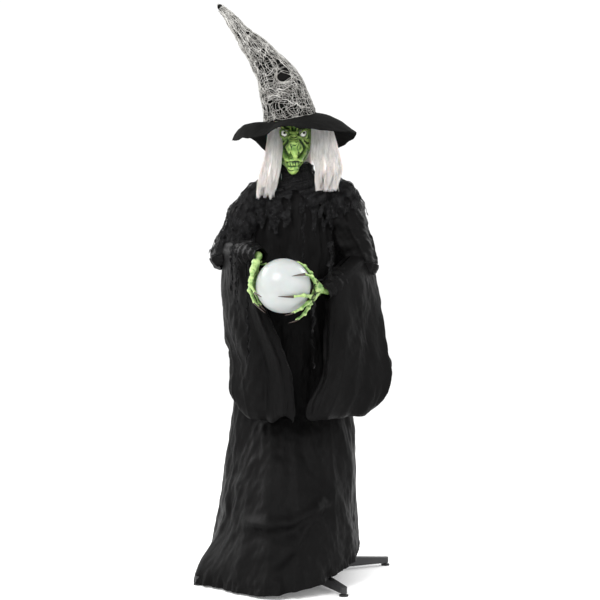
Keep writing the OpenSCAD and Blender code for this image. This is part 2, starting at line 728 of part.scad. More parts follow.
module globe_lamp() {
    color([0.2, 0.2, 0.2]) along(globe_at, wrist_left) {
        translate([0, 0, 52]) cylinder(r = 17.4, h = globe_r + 0.3 - 52);
        translate([0, 0, globe_r + 0.2]) cylinder(r = 20, h = 3.4);
        translate([0, 0, 36]) cylinder(r = 6, h = 17, $fn = 32);
        translate([0, 0, 36]) sphere(r = 6, $fn = 32);
    }
}

// ---------------------------------------------------------------- cloth

skirt_ovals = [
    [hem_z, -36, -5, 216, 291, 0, 0], [70, -34, -4, 208, 262, 0, 0], [180, -26, 0, 194, 214, 0, 0],
    [300, -18, 2, 184, 158, 0, 0], [420, -14, 4, 172, 92, 0, 0], [450, -13, 4, 165, 62, 0, 0],
    [580, -8, 4, 146, 56, 0, 0], [700, -4, 4, 126, 52, 0, 0], [836, 0, 4, 102, 50, 0, 0]];
bodice_ovals = [
    [840, 0, 4, 102, 52, 0, 0], [880, 0, 3, 100, 60, 0, 0], [960, 0, 2, 99, 64, 0, 0], [1030, 0, 2, 97, 62, 0, 0]];
shawl_ovals = [
    [1078, 0, 4, 84, 62, 0, 0], [1090, 0, 4, 72, 56, 0, 0], [1108, 0, 2, 50, 48, 0, 0]];
wrap_ovals = [
    [1110, 0, 0, 47, 46, 0, 0], [1126, 0, 0, 43, 42, 0, 0], [1146, 0, 0, 40, 40, 0, 0]];

module robe_skirt() {
    color([0.04, 0.04, 0.045]) difference() {
        cloth_tube(skirt_ovals, 36);
        for (i = [0 : 3]) rotate(leg_turn(i)) translate([150, -13, 0]) cube([200, 26, 36]);
    }
}

module robe_bodice() {
    color([0.05, 0.05, 0.055]) cloth_tube(bodice_ovals, 32);
}

module gauze_shawl() {
    color([0.1, 0.1, 0.11]) cloth_tube(shawl_ovals, 32);
}

module neck_wrap() {
    color([0.08, 0.08, 0.09]) cloth_tube(wrap_ovals, 28);
}

right_bell_ovals = [
    [448, -92, -128, 112, 38, -30, 0], [580, -106, -114, 106, 36, -38, 0],
    [700, -126, -94, 98, 33, -50, 0], [790, -146, -80, 90, 30, -60, 0], [850, -152, -84, 84, 25, -63, 0.09],
    [880, -152, -84, 80, 19, -63, 0.09]];
left_bell_ovals = [
    [448, 158, -104, 118, 38, 32, 0], [580, 162, -92, 108, 36, 38, 0],
    [690, 158, -80, 98, 33, 46, -0.24], [770, 148, -78, 90, 30, 54, -0.48], [800, 145, -78, 82, 25, 56.6, -0.52],
    [824, 142, -80, 76, 20, 56.6, -0.52]];

// The tube over the forearm and the bell that hangs under it.
module sleeve(bell, elbow, wrist) {
    d = unit(wrist - elbow);
    color([0.045, 0.045, 0.05]) {
        cloth_tube(bell, 28);
        along(elbow + 46 * d, wrist) difference() {
            cylinder(r = 24, h = norm(wrist - elbow) - 46 - 30, $fn = 40);
            translate([0, 0, -1]) cylinder(r = 24 - cloth_t, h = 400, $fn = 40);
        }
    }
}

base_hub();
leg(0);  // leg_back_left
leg(1);  // leg_back_right
leg(2);  // leg_front_right
leg(3);  // leg_front_left
levelling_feet();
hub_screws();
lower_pole();
upper_pole();
pole_collar();
pole_button();
torso_front_shell();
torso_back_shell();
torso_screws();
spine_bracket();
shoulder_bar();
shoulder_forks();
shoulder_pins();
speaker();
circuit_board();
battery_tray();
batteries();
battery_door();
mode_switch();
gearbox_base();
gearbox_cover();
head_motor();
motor_shaft();
motor_pinion();
neck_gear();
neck_shaft();
neck_bush();
neck_flange();
skull_form();
face_mask();
eyeball(-1);  // right_eye
eyeball(1);  // left_eye
eye_lamps();
wig_cap();
hair_lock(hair_right_ovals);  // hair_right
hair_lock(hair_left_ovals);  // hair_left
hair_lock(hair_back_ovals);  // hair_back
hat_cone();
hat_brim();
upper_arm(-1, elbow_right);  // right_upper_arm
forearm(elbow_right, wrist_right);  // right_forearm
hand(right_fingers, right_palm);  // right_hand
upper_arm(1, elbow_left);  // left_upper_arm
forearm(elbow_left, wrist_left);  // left_forearm
hand(left_fingers, left_palm);  // left_hand
elbow_pin(elbow_right);  // elbow_pins_right
elbow_pin(elbow_left);  // elbow_pins_left
globe();
globe_lamp();
robe_skirt();
robe_bodice();
gauze_shawl();
neck_wrap();
sleeve(right_bell_ovals, elbow_right, wrist_right);  // sleeve_right
sleeve(left_bell_ovals, elbow_left, wrist_left);  // sleeve_left
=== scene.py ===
import bpy
import json
import math
import numpy as np
import openvdb
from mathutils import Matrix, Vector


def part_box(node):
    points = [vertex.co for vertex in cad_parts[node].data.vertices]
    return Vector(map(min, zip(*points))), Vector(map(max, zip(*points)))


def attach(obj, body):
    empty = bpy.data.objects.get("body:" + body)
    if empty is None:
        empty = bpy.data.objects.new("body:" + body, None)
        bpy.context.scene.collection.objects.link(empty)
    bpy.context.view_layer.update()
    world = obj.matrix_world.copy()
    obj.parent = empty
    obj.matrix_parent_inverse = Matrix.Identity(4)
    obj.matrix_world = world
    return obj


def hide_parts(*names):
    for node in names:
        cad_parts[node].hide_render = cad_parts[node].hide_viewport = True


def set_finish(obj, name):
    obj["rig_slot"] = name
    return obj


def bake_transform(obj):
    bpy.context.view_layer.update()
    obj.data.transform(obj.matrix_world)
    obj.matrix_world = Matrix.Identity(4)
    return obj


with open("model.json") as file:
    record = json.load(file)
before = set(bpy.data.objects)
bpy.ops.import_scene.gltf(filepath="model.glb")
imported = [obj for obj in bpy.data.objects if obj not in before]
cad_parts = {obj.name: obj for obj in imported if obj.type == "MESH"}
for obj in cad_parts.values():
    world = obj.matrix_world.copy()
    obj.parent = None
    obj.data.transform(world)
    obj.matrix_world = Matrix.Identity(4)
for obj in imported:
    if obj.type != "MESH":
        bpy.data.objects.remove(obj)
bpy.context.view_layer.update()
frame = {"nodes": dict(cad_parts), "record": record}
PI2 = 2 * math.pi


# ------------------------------------------------------------------ small tools

def mid(node):
    lo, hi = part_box(node)
    return np.array((lo + hi) / 2)


def noise(p, size, seed, octaves=3):
    """Smooth noise of about -1 to 1 with features of the given size."""
    rng = np.random.default_rng(seed)
    p = np.asarray(p, float)
    if p.ndim and p.shape[-1] > 3 or p.ndim == 0:
        p = p[..., None]
    out, amp, total = np.zeros(p.shape[:-1]), 1.0, 0.0
    size = np.broadcast_to(np.asarray(size, float), (p.shape[-1],)).copy()
    for _ in range(octaves):
        k = rng.normal(size=(7, p.shape[-1]))
        k *= (rng.uniform(0.6, 1.3, 7) / np.linalg.norm(k, axis=1))[:, None] * PI2
        k = k / size
        out += amp * np.sin(p @ k.T + rng.uniform(0, PI2, 7)).sum(-1) / 3.0
        total += amp
        amp *= 0.5
        size = size * 0.5
    return out / total


def curve(keys, values, x):
    """Smooth curve through values at rising keys, read at x."""
    keys, values, x = np.asarray(keys, float), np.asarray(values, float), np.asarray(x, float)
    slope = np.gradient(values, keys, axis=0)
    i = np.clip(np.searchsorted(keys, x) - 1, 0, len(keys) - 2)
    h = keys[i + 1] - keys[i]
    t = np.clip((x - keys[i]) / h, 0, 1)
    if values.ndim > 1:
        t, h = t[..., None], h[..., None]
    a, b = values[i], values[i + 1]
    return ((2 * t**3 - 3 * t**2 + 1) * a + (t**3 - 2 * t**2 + t) * h * slope[i]
            + (3 * t**2 - 2 * t**3) * b + (t**3 - t**2) * h * slope[i + 1])


def step(a, b, x):
    t = np.clip((np.asarray(x, float) - a) / (b - a), 0, 1)
    return t * t * (3 - 2 * t)


def unit(v):
    v = np.asarray(v, float)
    return v / np.maximum(np.linalg.norm(v, axis=-1, keepdims=True), 1e-12)


def around(n):
    """n angles round a ring, as one row."""
    return np.arange(n)[None, :] * PI2 / n


def shift(P, way, by):
    """Points moved along way by the metres in by."""
    return P + way * by[..., None]


def outward(P):
    """The way out from the middle of each ring."""
    return unit(P - P.mean(axis=1, keepdims=True))


def make(name, verts, faces, mat, slot, body=None, replaces=(), smooth=True, uv=None):
    me = bpy.data.meshes.new(name)
    me.from_pydata(np.asarray(verts, float).tolist(), [], [list(map(int, f)) for f in faces])
    me.update()
    if smooth:
        me.polygons.foreach_set("use_smooth", np.ones(len(me.polygons), bool))
    if uv is not None:
        layer = me.uv_layers.new(name="UVMap")
        index = np.zeros(len(me.loops), np.int32)
        me.loops.foreach_get("vertex_index", index)
        layer.data.foreach_set("uv", np.asarray(uv, np.float32)[index].ravel())
    ob = bpy.data.objects.new(name, me)
    bpy.context.scene.collection.objects.link(ob)
    me.materials.append(mat)
    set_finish(ob, slot)
    if body:
        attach(ob, body)
    if replaces:
        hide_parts(*replaces)
    return ob


def grid_faces(nv, nu, wrap, base=0):
    i, j = np.meshgrid(np.arange(nv - 1), np.arange(nu if wrap else nu - 1), indexing="ij")
    k = (j + 1) % nu
    a = base + i * nu
    return np.stack([a + j, a + k, a + nu + k, a + nu + j], -1).reshape(-1, 4)


def grid(name, P, mat, slot, wrap=True, keep=None, uv=None, **kw):
    """A mesh over a grid of points P[row, column]. keep says which quads stay."""
    nv, nu = P.shape[:2]
    faces = grid_faces(nv, nu, wrap)
    if keep is not None:
        faces = faces[np.asarray(keep).ravel()]
    verts = P.reshape(-1, 3)
    flat_uv = None if uv is None else np.asarray(uv, float).reshape(-1, 2)
    used = np.unique(faces)
    if len(used) < len(verts):
        new = np.full(len(verts), -1)
        new[used] = np.arange(len(used))
        faces, verts = new[faces], verts[used]
        flat_uv = None if flat_uv is None else flat_uv[used]
    return make(name, verts, faces, mat, slot, uv=flat_uv, **kw)


def tubes(name, lines, radius, mat, slot, sides=3, **kw):
    """Fine tubes along open lines: threads, hairs, strands. radius is one per line or an array along it."""
    ang = np.arange(sides) * PI2 / sides
    verts, faces, base = [], [], 0
    for n, line in enumerate(lines):
        line = np.asarray(line, float)
        if len(line) < 2:
            continue
        t = unit(np.gradient(line, axis=0))
        ref = np.array([0, 0, 1.0]) if abs(t[:, 2].mean()) < 0.8 else np.array([0, 1.0, 0])
        a = unit(np.cross(t, ref))
        b = np.cross(t, a)
        r = np.broadcast_to(np.asarray(radius[n], float), (len(line),))[:, None, None]
        ring = line[:, None] + r * (np.cos(ang)[None, :, None] * a[:, None]
                                    + np.sin(ang)[None, :, None] * b[:, None])
        verts.append(ring.reshape(-1, 3))
        faces.append(grid_faces(len(line), sides, True, base))
        base += ring.shape[0] * sides
    return make(name, np.concatenate(verts), np.concatenate(faces), mat, slot, **kw)


# ------------------------------------------------------------------ materials

class Mat:
    def __init__(self, name, base, rough, **sockets):
        self.m = bpy.data.materials.new(name)
        self.m.use_nodes = True
        self.t = self.m.node_tree
        self.b = self.t.nodes["Principled BSDF"]
        self.b.inputs["Base Color"].default_value = (*base, 1)
        self.b.inputs["Roughness"].default_value = rough
        for k, v in sockets.items():
            self.b.inputs[k.replace("_", " ")].default_value = (*v, 1) if isinstance(v, tuple) else v

    def n(self, kind, **kw):
        node = self.t.nodes.new("ShaderNode" + kind)
        for k, v in kw.items():
            if hasattr(node, k) and k not in node.inputs:
                setattr(node, k, v)
            else:
                s = node.inputs[int(k[1:]) if k[0] == "i" and k[1:].isdigit() else k.replace("_", " ")]
                if isinstance(v, bpy.types.NodeSocket):
                    self.t.links.new(v, s)
                else:
                    s.default_value = v
        return node

    def put(self, socket, out):
        self.t.links.new(out, self.b.inputs[socket])

    def coord(self, kind="Object"):
        return self.n("TexCoord").outputs[kind]

    def scaled(self, vector, sx, sy, sz):
        return self.n("Mapping", Vector=vector, Scale=(sx, sy, sz)).outputs[0]

    def noise(self, scale, detail=3.0, rough=0.55, vector=None):
        node = self.n("TexNoise", Scale=scale, Detail=detail, Roughness=rough)
        self.t.links.new(vector or self.coord(), node.inputs["Vector"])
        return node.outputs[0]

    def ramp(self, fac, stops):
        node = self.n("ValToRGB", Fac=fac)
        e = node.color_ramp.elements
        while len(e) < len(stops):
            e.new(0.5)
        for k, (at, col) in enumerate(stops):
            e[k].position = at
            e[k].color = (*col, 1) if isinstance(col, tuple) else (col, col, col, 1)
        return node.outputs[0]

    def math(self, op, a, b=0.0):
        return self.n("Math", operation=op, i0=a, i1=b).outputs[0]

    def plus(self, a, b):
        return self.math("ADD", a, b)

    def minus(self, a, b):
        return self.math("SUBTRACT", a, b)

    def times(self, a, b):
        return self.math("MULTIPLY", a, b)

    def mix(self, fac, a, b):
        node = self.n("Mix", data_type="RGBA")
        for s, v in ((0, fac), (6, a), (7, b)):
            if isinstance(v, bpy.types.NodeSocket):
                self.t.links.new(v, node.inputs[s])
            else:
                node.inputs[s].default_value = (*v, 1) if isinstance(v, tuple) else v
        return node.outputs[2]

    def bump(self, height, strength, distance):
        node = self.n("Bump", Height=height, Strength=strength, Distance=distance)
        self.put("Normal", node.outputs[0])

    def weave(self, pitch):
        """Over and under of two sets of threads, one thread each pitch metres."""
        k = PI2 / pitch / 2
        sep = self.n("SeparateXYZ", Vector=self.coord("UV"))
        u = self.math("SINE", self.times(sep.outputs[0], k))
        v = self.math("SINE", self.times(sep.outputs[1], k))
        return self.plus(self.times(self.times(u, v), 0.5), 0.5)


def cloth_mat(name, base, light, rough, pitch, crease, shine):
    m = Mat(name, base, rough, Specular_IOR_Level=shine)
    big = m.noise(7.0, 4.0)
    fine = m.noise(700.0, 2.0)
    m.put("Base Color", m.mix(m.times(m.ramp(big, [(0.3, 0.0), (0.75, 1.0)]), 0.8), base, light))
    m.put("Roughness", m.plus(m.times(fine, 0.16), rough - 0.08))
    crumple = m.noise(38.0, 5.0, 0.6)
    height = m.plus(m.times(m.weave(pitch), 0.12), m.plus(crumple, m.times(fine, 0.08)))
    m.bump(height, 0.55, crease)
    return m.m


ROBE = cloth_mat("robe_satin", (0.0022, 0.0021, 0.0021), (0.0048, 0.0046, 0.0047), 0.42, 0.0007,
                 crease=0.0022, shine=0.055)
HAT_CLOTH = cloth_mat("hat_felt", (0.004, 0.004, 0.0038), (0.0085, 0.0085, 0.008), 0.88, 0.0012,
                      crease=0.0015, shine=0.045)


def gauze_mat(name, base, light, pitch, hole):
    m = Mat(name, base, 0.95, Specular_IOR_Level=0.06)
    uv = m.coord("UV")
    warp = m.n("VectorMath", operation="SCALE",
               i0=m.n("TexNoise", Scale=38.0, Detail=3.0, Vector=uv).outputs[1], Scale=0.010).outputs[0]
    place = m.n("VectorMath", operation="ADD", i0=uv, i1=warp).outputs[0]
    sep = m.n("SeparateXYZ", Vector=place)
    k = PI2 / pitch
    a = m.math("ABSOLUTE", m.math("SINE", m.times(sep.outputs[0], k / 2)))
    b = m.math("ABSOLUTE", m.math("SINE", m.times(sep.outputs[1], k / 2)))
    thread = m.math("MINIMUM", a, b)
    bunch = m.n("TexNoise", Scale=55.0, Detail=3.0, Vector=uv).outputs[0]
    limit = m.times(bunch, hole)
    alpha = m.ramp(m.minus(limit, thread), [(0.0, 0.0), (0.06, 1.0)])
    m.put("Alpha", alpha)
    m.put("Base Color", m.mix(m.ramp(bunch, [(0.35, 0.0), (0.7, 1.0)]), base, light))
    m.bump(m.minus(bunch, m.times(thread, 0.4)), 0.5, 0.0015)
    return m.m


GAUZE = gauze_mat("black_gauze", (0.006, 0.006, 0.0062), (0.016, 0.016, 0.0165), 0.0030, 1.60)


def thread_mat(name, dark, light, rough=0.9):
    m = Mat(name, dark, rough, Specular_IOR_Level=0.08)
    m.put("Base Color", m.mix(m.ramp(m.noise(60.0, 3.0), [(0.35, 0.0), (0.65, 1.0)]), dark, light))
    m.bump(m.noise(900.0, 2.0), 0.5, 0.0004)
    return m.m


NET_THREAD = thread_mat("pale_net_thread", (0.30, 0.29, 0.27), (0.62, 0.61, 0.58))


def latex_mat(name, green, light, dark):
    m = Mat(name, green, 0.46, Subsurface_Weight=0.08, Subsurface_Scale=0.003, Specular_IOR_Level=0.35,
            Coat_Weight=0.12, Coat_Roughness=0.35)
    cav = m.n("Attribute", attribute_name="cavity").outputs["Fac"]
    paint = m.n("Attribute", attribute_name="paint").outputs["Fac"]
    blotch = m.noise(60.0, 4.0, 0.6)
    fleck = m.noise(240.0, 3.0, 0.6)
    fine = m.noise(420.0, 3.0)
    # Lighter yellow-green on the raised parts, read from the cavity: the mask's own highlight paint together
    # with a painted highlight on the ridges.
    high = m.plus(m.times(m.minus(0.5, cav), 1.1), m.times(blotch, 0.9))
    tone = m.mix(m.ramp(high, [(0.34, 0.0), (0.86, 1.0)]), green, light)
    # Darker green in the hollows (cavity) and along the listed grooves (paint): the mask's own dark-green
    # crease paint together with painted shade in the creases.
    deep = m.plus(m.times(m.minus(cav, 0.5), 1.5), m.times(m.minus(fleck, 0.5), 0.5))
    shade = m.math("MAXIMUM", m.ramp(deep, [(0.02, 0.0), (0.5, 1.0)]),
                   m.ramp(m.plus(paint, m.times(m.minus(fleck, 0.5), 0.4)), [(0.15, 0.0), (0.75, 1.0)]))
    m.put("Base Color", m.mix(m.times(shade, 0.97), tone, dark))
    m.put("Roughness", m.plus(m.times(fine, 0.25), 0.36))
    m.bump(m.plus(m.times(fine, 0.35), m.noise(150.0, 4.0)), 0.5, 0.0006)
    return m.m


# Both latex materials darken the hollows and lighten the raised parts from the cavity: the latex's own paint
# together with painted shade and a painted highlight.
MASK = latex_mat("mask_latex", (0.075, 0.175, 0.028), (0.31, 0.45, 0.115), (0.0035, 0.014, 0.0025))
HAND = latex_mat("hand_latex", (0.13, 0.26, 0.06), (0.40, 0.54, 0.21), (0.008, 0.032, 0.006))


def nail_mat():
    m = Mat("dark_nail", (0.02, 0.012, 0.009), 0.32, Coat_Weight=0.4, Coat_Roughness=0.2)
    m.put("Base Color", m.mix(m.ramp(m.noise(120.0, 3.0), [(0.3, 0.0), (0.7, 1.0)]), (0.012, 0.007, 0.006),
                              (0.065, 0.035, 0.02)))
    m.bump(m.noise(500.0, 3.0), 0.3, 0.0004)
    return m.m


NAIL = nail_mat()


def globe_mat():
    m = Mat("milky_globe", (0.44, 0.44, 0.436), 0.3, Subsurface_Weight=0.2, Subsurface_Scale=0.02,
            Specular_IOR_Level=0.35, Coat_Weight=0.25, Coat_Roughness=0.18)
    cloud = m.noise(16.0, 4.0, 0.55)
    m.put("Base Color",
          m.mix(m.ramp(cloud, [(0.3, 0.0), (0.7, 1.0)]), (0.405, 0.41, 0.403), (0.475, 0.478, 0.47)))
    m.put("Roughness", m.plus(m.times(m.noise(60.0, 3.0), 0.14), 0.24))
    m.bump(m.noise(30.0, 2.0), 0.12, 0.0006)
    return m.m


def hair_mat():
    m = Mat("grey_white_wig", (0.74, 0.72, 0.68), 0.75, Specular_IOR_Level=0.2, Subsurface_Weight=0.25,
            Subsurface_Scale=0.006)
    streak = m.noise(1.0, 3.0, 0.6, m.scaled(m.coord(), 150.0, 150.0, 7.0))
    m.put("Base Color",
          m.mix(m.ramp(streak, [(0.25, 0.0), (0.6, 1.0)]), (0.59, 0.53, 0.495), (0.90, 0.82, 0.78)))
    m.bump(m.noise(1.0, 3.0, 0.6, m.scaled(m.coord(), 600.0, 600.0, 14.0)), 0.35, 0.0008)
    return m.m


HAIR = hair_mat()


def eye_mat(name, centre, gaze, radius, pupil):
    """White ball with a dark pupil on the side that it looks towards."""
    m = Mat(name, (0.8, 0.8, 0.76), 0.12, Coat_Weight=0.6, Coat_Roughness=0.03)
    away = m.n("VectorMath", operation="SUBTRACT", i0=m.coord(), i1=tuple(map(float, centre))).outputs[0]
    flat = m.n("VectorMath", operation="NORMALIZE", i0=away).outputs[0]
    look = m.n("VectorMath", operation="DOT_PRODUCT", i0=flat,
               i1=tuple(map(float, unit(gaze)))).outputs["Value"]
    off = m.minus(1.0, look)
    edge = 1 - math.cos(math.asin(pupil / radius))
    vein = m.ramp(m.noise(420.0, 5.0, 0.7), [(0.55, (0.82, 0.83, 0.79)), (0.66, (0.62, 0.5, 0.42))])
    ring = m.ramp(m.math("DIVIDE", off, edge * 4),
                  [(0.0, (0.003, 0.003, 0.003)), (0.24, (0.004, 0.004, 0.004)),
                                                 (0.30, (0.10, 0.13, 0.05)), (0.42, (0.55, 0.57, 0.5)),
                                                 (0.6, (0.82, 0.83, 0.79))])
    m.put("Base Color",
          m.mix(m.ramp(m.math("DIVIDE", off, edge * 4), [(0.55, 0.0), (0.75, 1.0)]), ring, vein))
    m.bump(m.noise(160.0, 2.0), 0.08, 0.0003)
    return m.m


def hard_mat(name, base, light, rough, metal=0.0, grain=500.0, depth=0.0002, **kw):
    """Moulded plastic, painted or plated metal: fine grain, faint blotches and worn patches."""
    m = Mat(name, base, rough, Metallic=metal, **kw)
    wear = m.ramp(m.noise(14.0, 6.0, 0.65), [(0.45, 0.0), (0.8, 1.0)])
    fine = m.noise(grain, 3.0)
    m.put("Base Color", m.mix(wear, base, light))
    m.put("Roughness", m.plus(m.times(fine, 0.18), rough - 0.09))
    m.bump(fine, 0.5, depth)
    return m.m


SLOT_MATS = {
    "black_powder_coat": hard_mat("powder_coat", (0.011, 0.011, 0.012), (0.028, 0.028, 0.029), 0.42,
                                  grain=1400.0),
    "foot_rubber": hard_mat("foot_rubber", (0.012, 0.012, 0.012), (0.035, 0.034, 0.033), 0.75, grain=900.0),
    "zinc_steel": hard_mat("zinc_steel", (0.50, 0.50, 0.51), (0.36, 0.36, 0.36), 0.34, 1.0, 700.0),
    "black_plastic": hard_mat("black_plastic", (0.014, 0.014, 0.015), (0.026, 0.026, 0.027), 0.5,
                              grain=1600.0),
    "arm_tube": hard_mat("arm_tube", (0.33, 0.33, 0.34), (0.24, 0.24, 0.24), 0.4, 1.0, 600.0),
    "speaker_parts": hard_mat("speaker_parts", (0.02, 0.02, 0.021), (0.05, 0.05, 0.05), 0.55, 0.3),
    "circuit_green": hard_mat("circuit_green", (0.01, 0.10, 0.035), (0.02, 0.15, 0.06), 0.3),
    "battery_wrap": hard_mat("battery_wrap", (0.42, 0.26, 0.05), (0.5, 0.33, 0.09), 0.28, 0.6),
    "switch_red": hard_mat("switch_red", (0.36, 0.018, 0.012), (0.45, 0.04, 0.03), 0.35),
    "gear_nylon": hard_mat("gear_nylon", (0.66, 0.64, 0.56), (0.74, 0.72, 0.65), 0.5,
                           Subsurface_Weight=0.1),
    "brass_parts": hard_mat("brass_parts", (0.56, 0.40, 0.14), (0.4, 0.28, 0.1), 0.32, 1.0),
    "skull_plastic": hard_mat("skull_plastic", (0.36, 0.33, 0.28), (0.45, 0.42, 0.37), 0.55),
    "lamp_clear": hard_mat("lamp_clear", (0.8, 0.8, 0.76), (0.7, 0.7, 0.66), 0.1),
    "witch_latex": HAND,
    "globe_shell": globe_mat(),
    "wig_fibre": HAIR,
    "hat_cloth": HAT_CLOTH,
    "robe_cloth": ROBE,
    "gauze_cloth": GAUZE,
    "eye_white": None,
}

eyes = {"right_eye": mid("right_eye"), "left_eye": mid("left_eye")}
lo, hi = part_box("left_eye")
EYE_R = float(hi[2] - lo[2]) / 2
for part in frame["record"]["subparts"]:
    node = frame["nodes"][part["node"]]
    mat = SLOT_MATS.get(part["material_slot"])
    if part["material_slot"] == "eye_white":
        side = 0.0 if part["node"] == "right_eye" else 0.30
        gaze = [side, -1.0, 0.02]
        mat = eye_mat(part["node"] + "_surface", eyes[part["node"]], gaze, EYE_R, 0.0031)
    node.data.materials.clear()
    node.data.materials.append(mat)
    if part["node"] in ("globe", "right_eye", "left_eye"):
        node.data.polygons.foreach_set("use_smooth", np.ones(len(node.data.polygons), bool))

# ------------------------------------------------------------------ ovals shared by the cloth

# Height, centre x, centre y, half length, half width, turn and tilt of each level, in metres and degrees.
SKIRT = np.array([
    [0.004, -0.028, -0.005, 0.211, 0.291, 0, 0], [0.070, -0.026, -0.004, 0.204, 0.262, 0, 0],
    [0.180, -0.019, 0, 0.193, 0.214, 0, 0], [0.300, -0.011, 0.002, 0.184, 0.160, 0, 0],
    [0.420, -0.008, 0.004, 0.173, 0.100, 0, 0], [0.480, -0.008, 0.004, 0.163, 0.072, 0, 0],
    [0.580, -0.005, 0.004, 0.148, 0.062, 0, 0], [0.700, -0.003, 0.004, 0.130, 0.058, 0, 0],
    [0.850, 0, 0.004, 0.110, 0.060, 0, 0]])
BODICE = np.array([
    [0.790, 0, 0.004, 0.124, 0.074, 0, 0], [0.835, 0.002, 0.004, 0.131, 0.074, 0, 0],
    [0.900, 0.003, 0.003, 0.133, 0.072, 0, 0],
    [0.980, 0.002, 0.002, 0.124, 0.072, 0, 0], [1.040, 0, 0.002, 0.112, 0.068, 0, 0],
    [1.078, 0, 0.003, 0.092, 0.064, 0, 0], [1.100, 0, 0.003, 0.060, 0.052, 0, 0],
    [1.118, 0, 0.000, 0.046, 0.045, 0, 0],
    [1.146, 0, 0.000, 0.043, 0.043, 0, 0]])
BELL_RIGHT = np.array([
    [0.448, -0.080, -0.128, 0.104, 0.042, -30, 0], [0.580, -0.090, -0.114, 0.098, 0.040, -38, 0],
    [0.700, -0.122, -0.094, 0.096, 0.038, -50, 0], [0.790, -0.146, -0.082, 0.096, 0.036, -59, 0.03],
    [0.860, -0.151, -0.084, 0.092, 0.034, -63, 0.06], [0.905, -0.152, -0.084, 0.090, 0.032, -63, 0.09],
    [0.926, -0.152, -0.084, 0.085, 0.018, -63, 0.09], [0.932, -0.152, -0.084, 0.080, 0.002, -63, 0.09]])
BELL_LEFT = np.array([
    [0.448, 0.144, -0.104, 0.126, 0.042, 32, 0], [0.515, 0.164, -0.098, 0.124, 0.041, 34, 0],
    [0.600, 0.163, -0.090, 0.109, 0.040, 40, -0.08],
    [0.690, 0.158, -0.080, 0.102, 0.038, 46, -0.24], [0.770, 0.157, -0.072, 0.102, 0.038, 52, -0.44],
    [0.812, 0.154, -0.070, 0.100, 0.037, 53, -0.52], [0.848, 0.150, -0.070, 0.098, 0.034, 54, -0.56],
    [0.876, 0.148, -0.070, 0.094, 0.024, 54, -0.58], [0.884, 0.148, -0.070, 0.090, 0.002, 54, -0.58]])


def ovals(table, levels, n, grow=0.0):
    """Rings of points round the table's ovals, one per level. grow is one number or an array."""
    o = curve(table[:, 0], table[:, 1:], levels)
    a = np.arange(n) * PI2 / n
    p = (o[:, 2:3] + grow) * np.cos(a)
    q = (o[:, 3:4] + grow) * np.sin(a)
    c, s = np.cos(np.radians(o[:, 4:5])), np.sin(np.radians(o[:, 4:5]))
    return np.stack([o[:, 0:1] + p * c - q * s, o[:, 1:2] + p * s + q * c, levels[:, None] - o[:, 5:6] * p],
                    -1)


def ring_lengths(P):
    """Metres round each ring up to each point, for a weave that keeps its scale."""
    d = np.linalg.norm(np.diff(P, axis=1), axis=2)
    u = np.concatenate([np.zeros((len(P), 1)), np.cumsum(d, 1)], 1)
    up = np.linalg.norm(np.diff(P, axis=0), axis=2)
    v = np.concatenate([np.zeros((1, P.shape[1])), np.cumsum(up, 0)], 0)
    return np.stack([u, v], -1)


def folds(a, level, count, seed, depth, width=(0.10, 0.30), drift=0.15, start=(0.0, 0.7)):
    """Depth of hanging folds at angle a and level, which is 0 at the top and 1 at the hem."""
    rng = np.random.default_rng(seed)
    out = np.zeros(np.broadcast(a, level).shape)
    for k in range(count):
        at = PI2 * (k + rng.uniform(-0.32, 0.32)) / count
        w = rng.uniform(*width)
        size = rng.uniform(0.45, 1.0) * (1 if k % 3 else -0.7)
        begin = rng.uniform(*start)
        sway = drift * rng.uniform(-1, 1) * (1 - level) + 0.03 * np.sin(level * rng.uniform(4, 9)
                                                                        + rng.uniform(0, 6))
        d = (a - at - sway + math.pi) % PI2 - math.pi
        out += size * step(begin - 0.25, begin + 0.35, level) * np.exp(-np.abs(d / w) ** 1.5)
    return depth * (out - out.mean())


# ------------------------------------------------------------------ robe

# Points of x and z down each slanting buckle of the skirt, with its height and width.
SKIRT_RIDGES = [
    ([[0.094, 0.245], [0.050, 0.215], [0.000, 0.186], [-0.070, 0.176], [-0.150, 0.178]], 0.013, 0.014),
    ([[0.094, 0.245], [0.040, 0.180], [-0.010, 0.110], [-0.066, 0.057]], 0.012, 0.015),
    ([[-0.088, 0.450], [-0.084, 0.390], [-0.086, 0.325]], 0.007, 0.009),
    ([[-0.150, 0.300], [-0.178, 0.235], [-0.200, 0.170]], 0.010, 0.018),
    ([[0.030, 0.440], [0.052, 0.350], [0.094, 0.245]], 0.009, 0.016)]


def ridge_line(P, line, width):
    """How near each point of the front is to a line of x and z: 1 on it, falling to 0."""
    near = np.full(P.shape[:2], 9.0)
    line = np.asarray(line, float)
    for p, q in zip(line[:-1], line[1:]):
        d, v = P[..., [0, 2]] - p, q - p
        t = np.clip((d @ v) / (v @ v), 0, 1)
        near = np.minimum(near, np.linalg.norm(d - t[..., None] * v, axis=-1))
    ends = np.minimum(*(np.linalg.norm(P[..., [0, 2]] - e, axis=-1) for e in (line[0], line[-1])))
    return np.exp(-(near / width) ** 2) * step(0.0, 0.05, ends) * (P[..., 1] < 0)


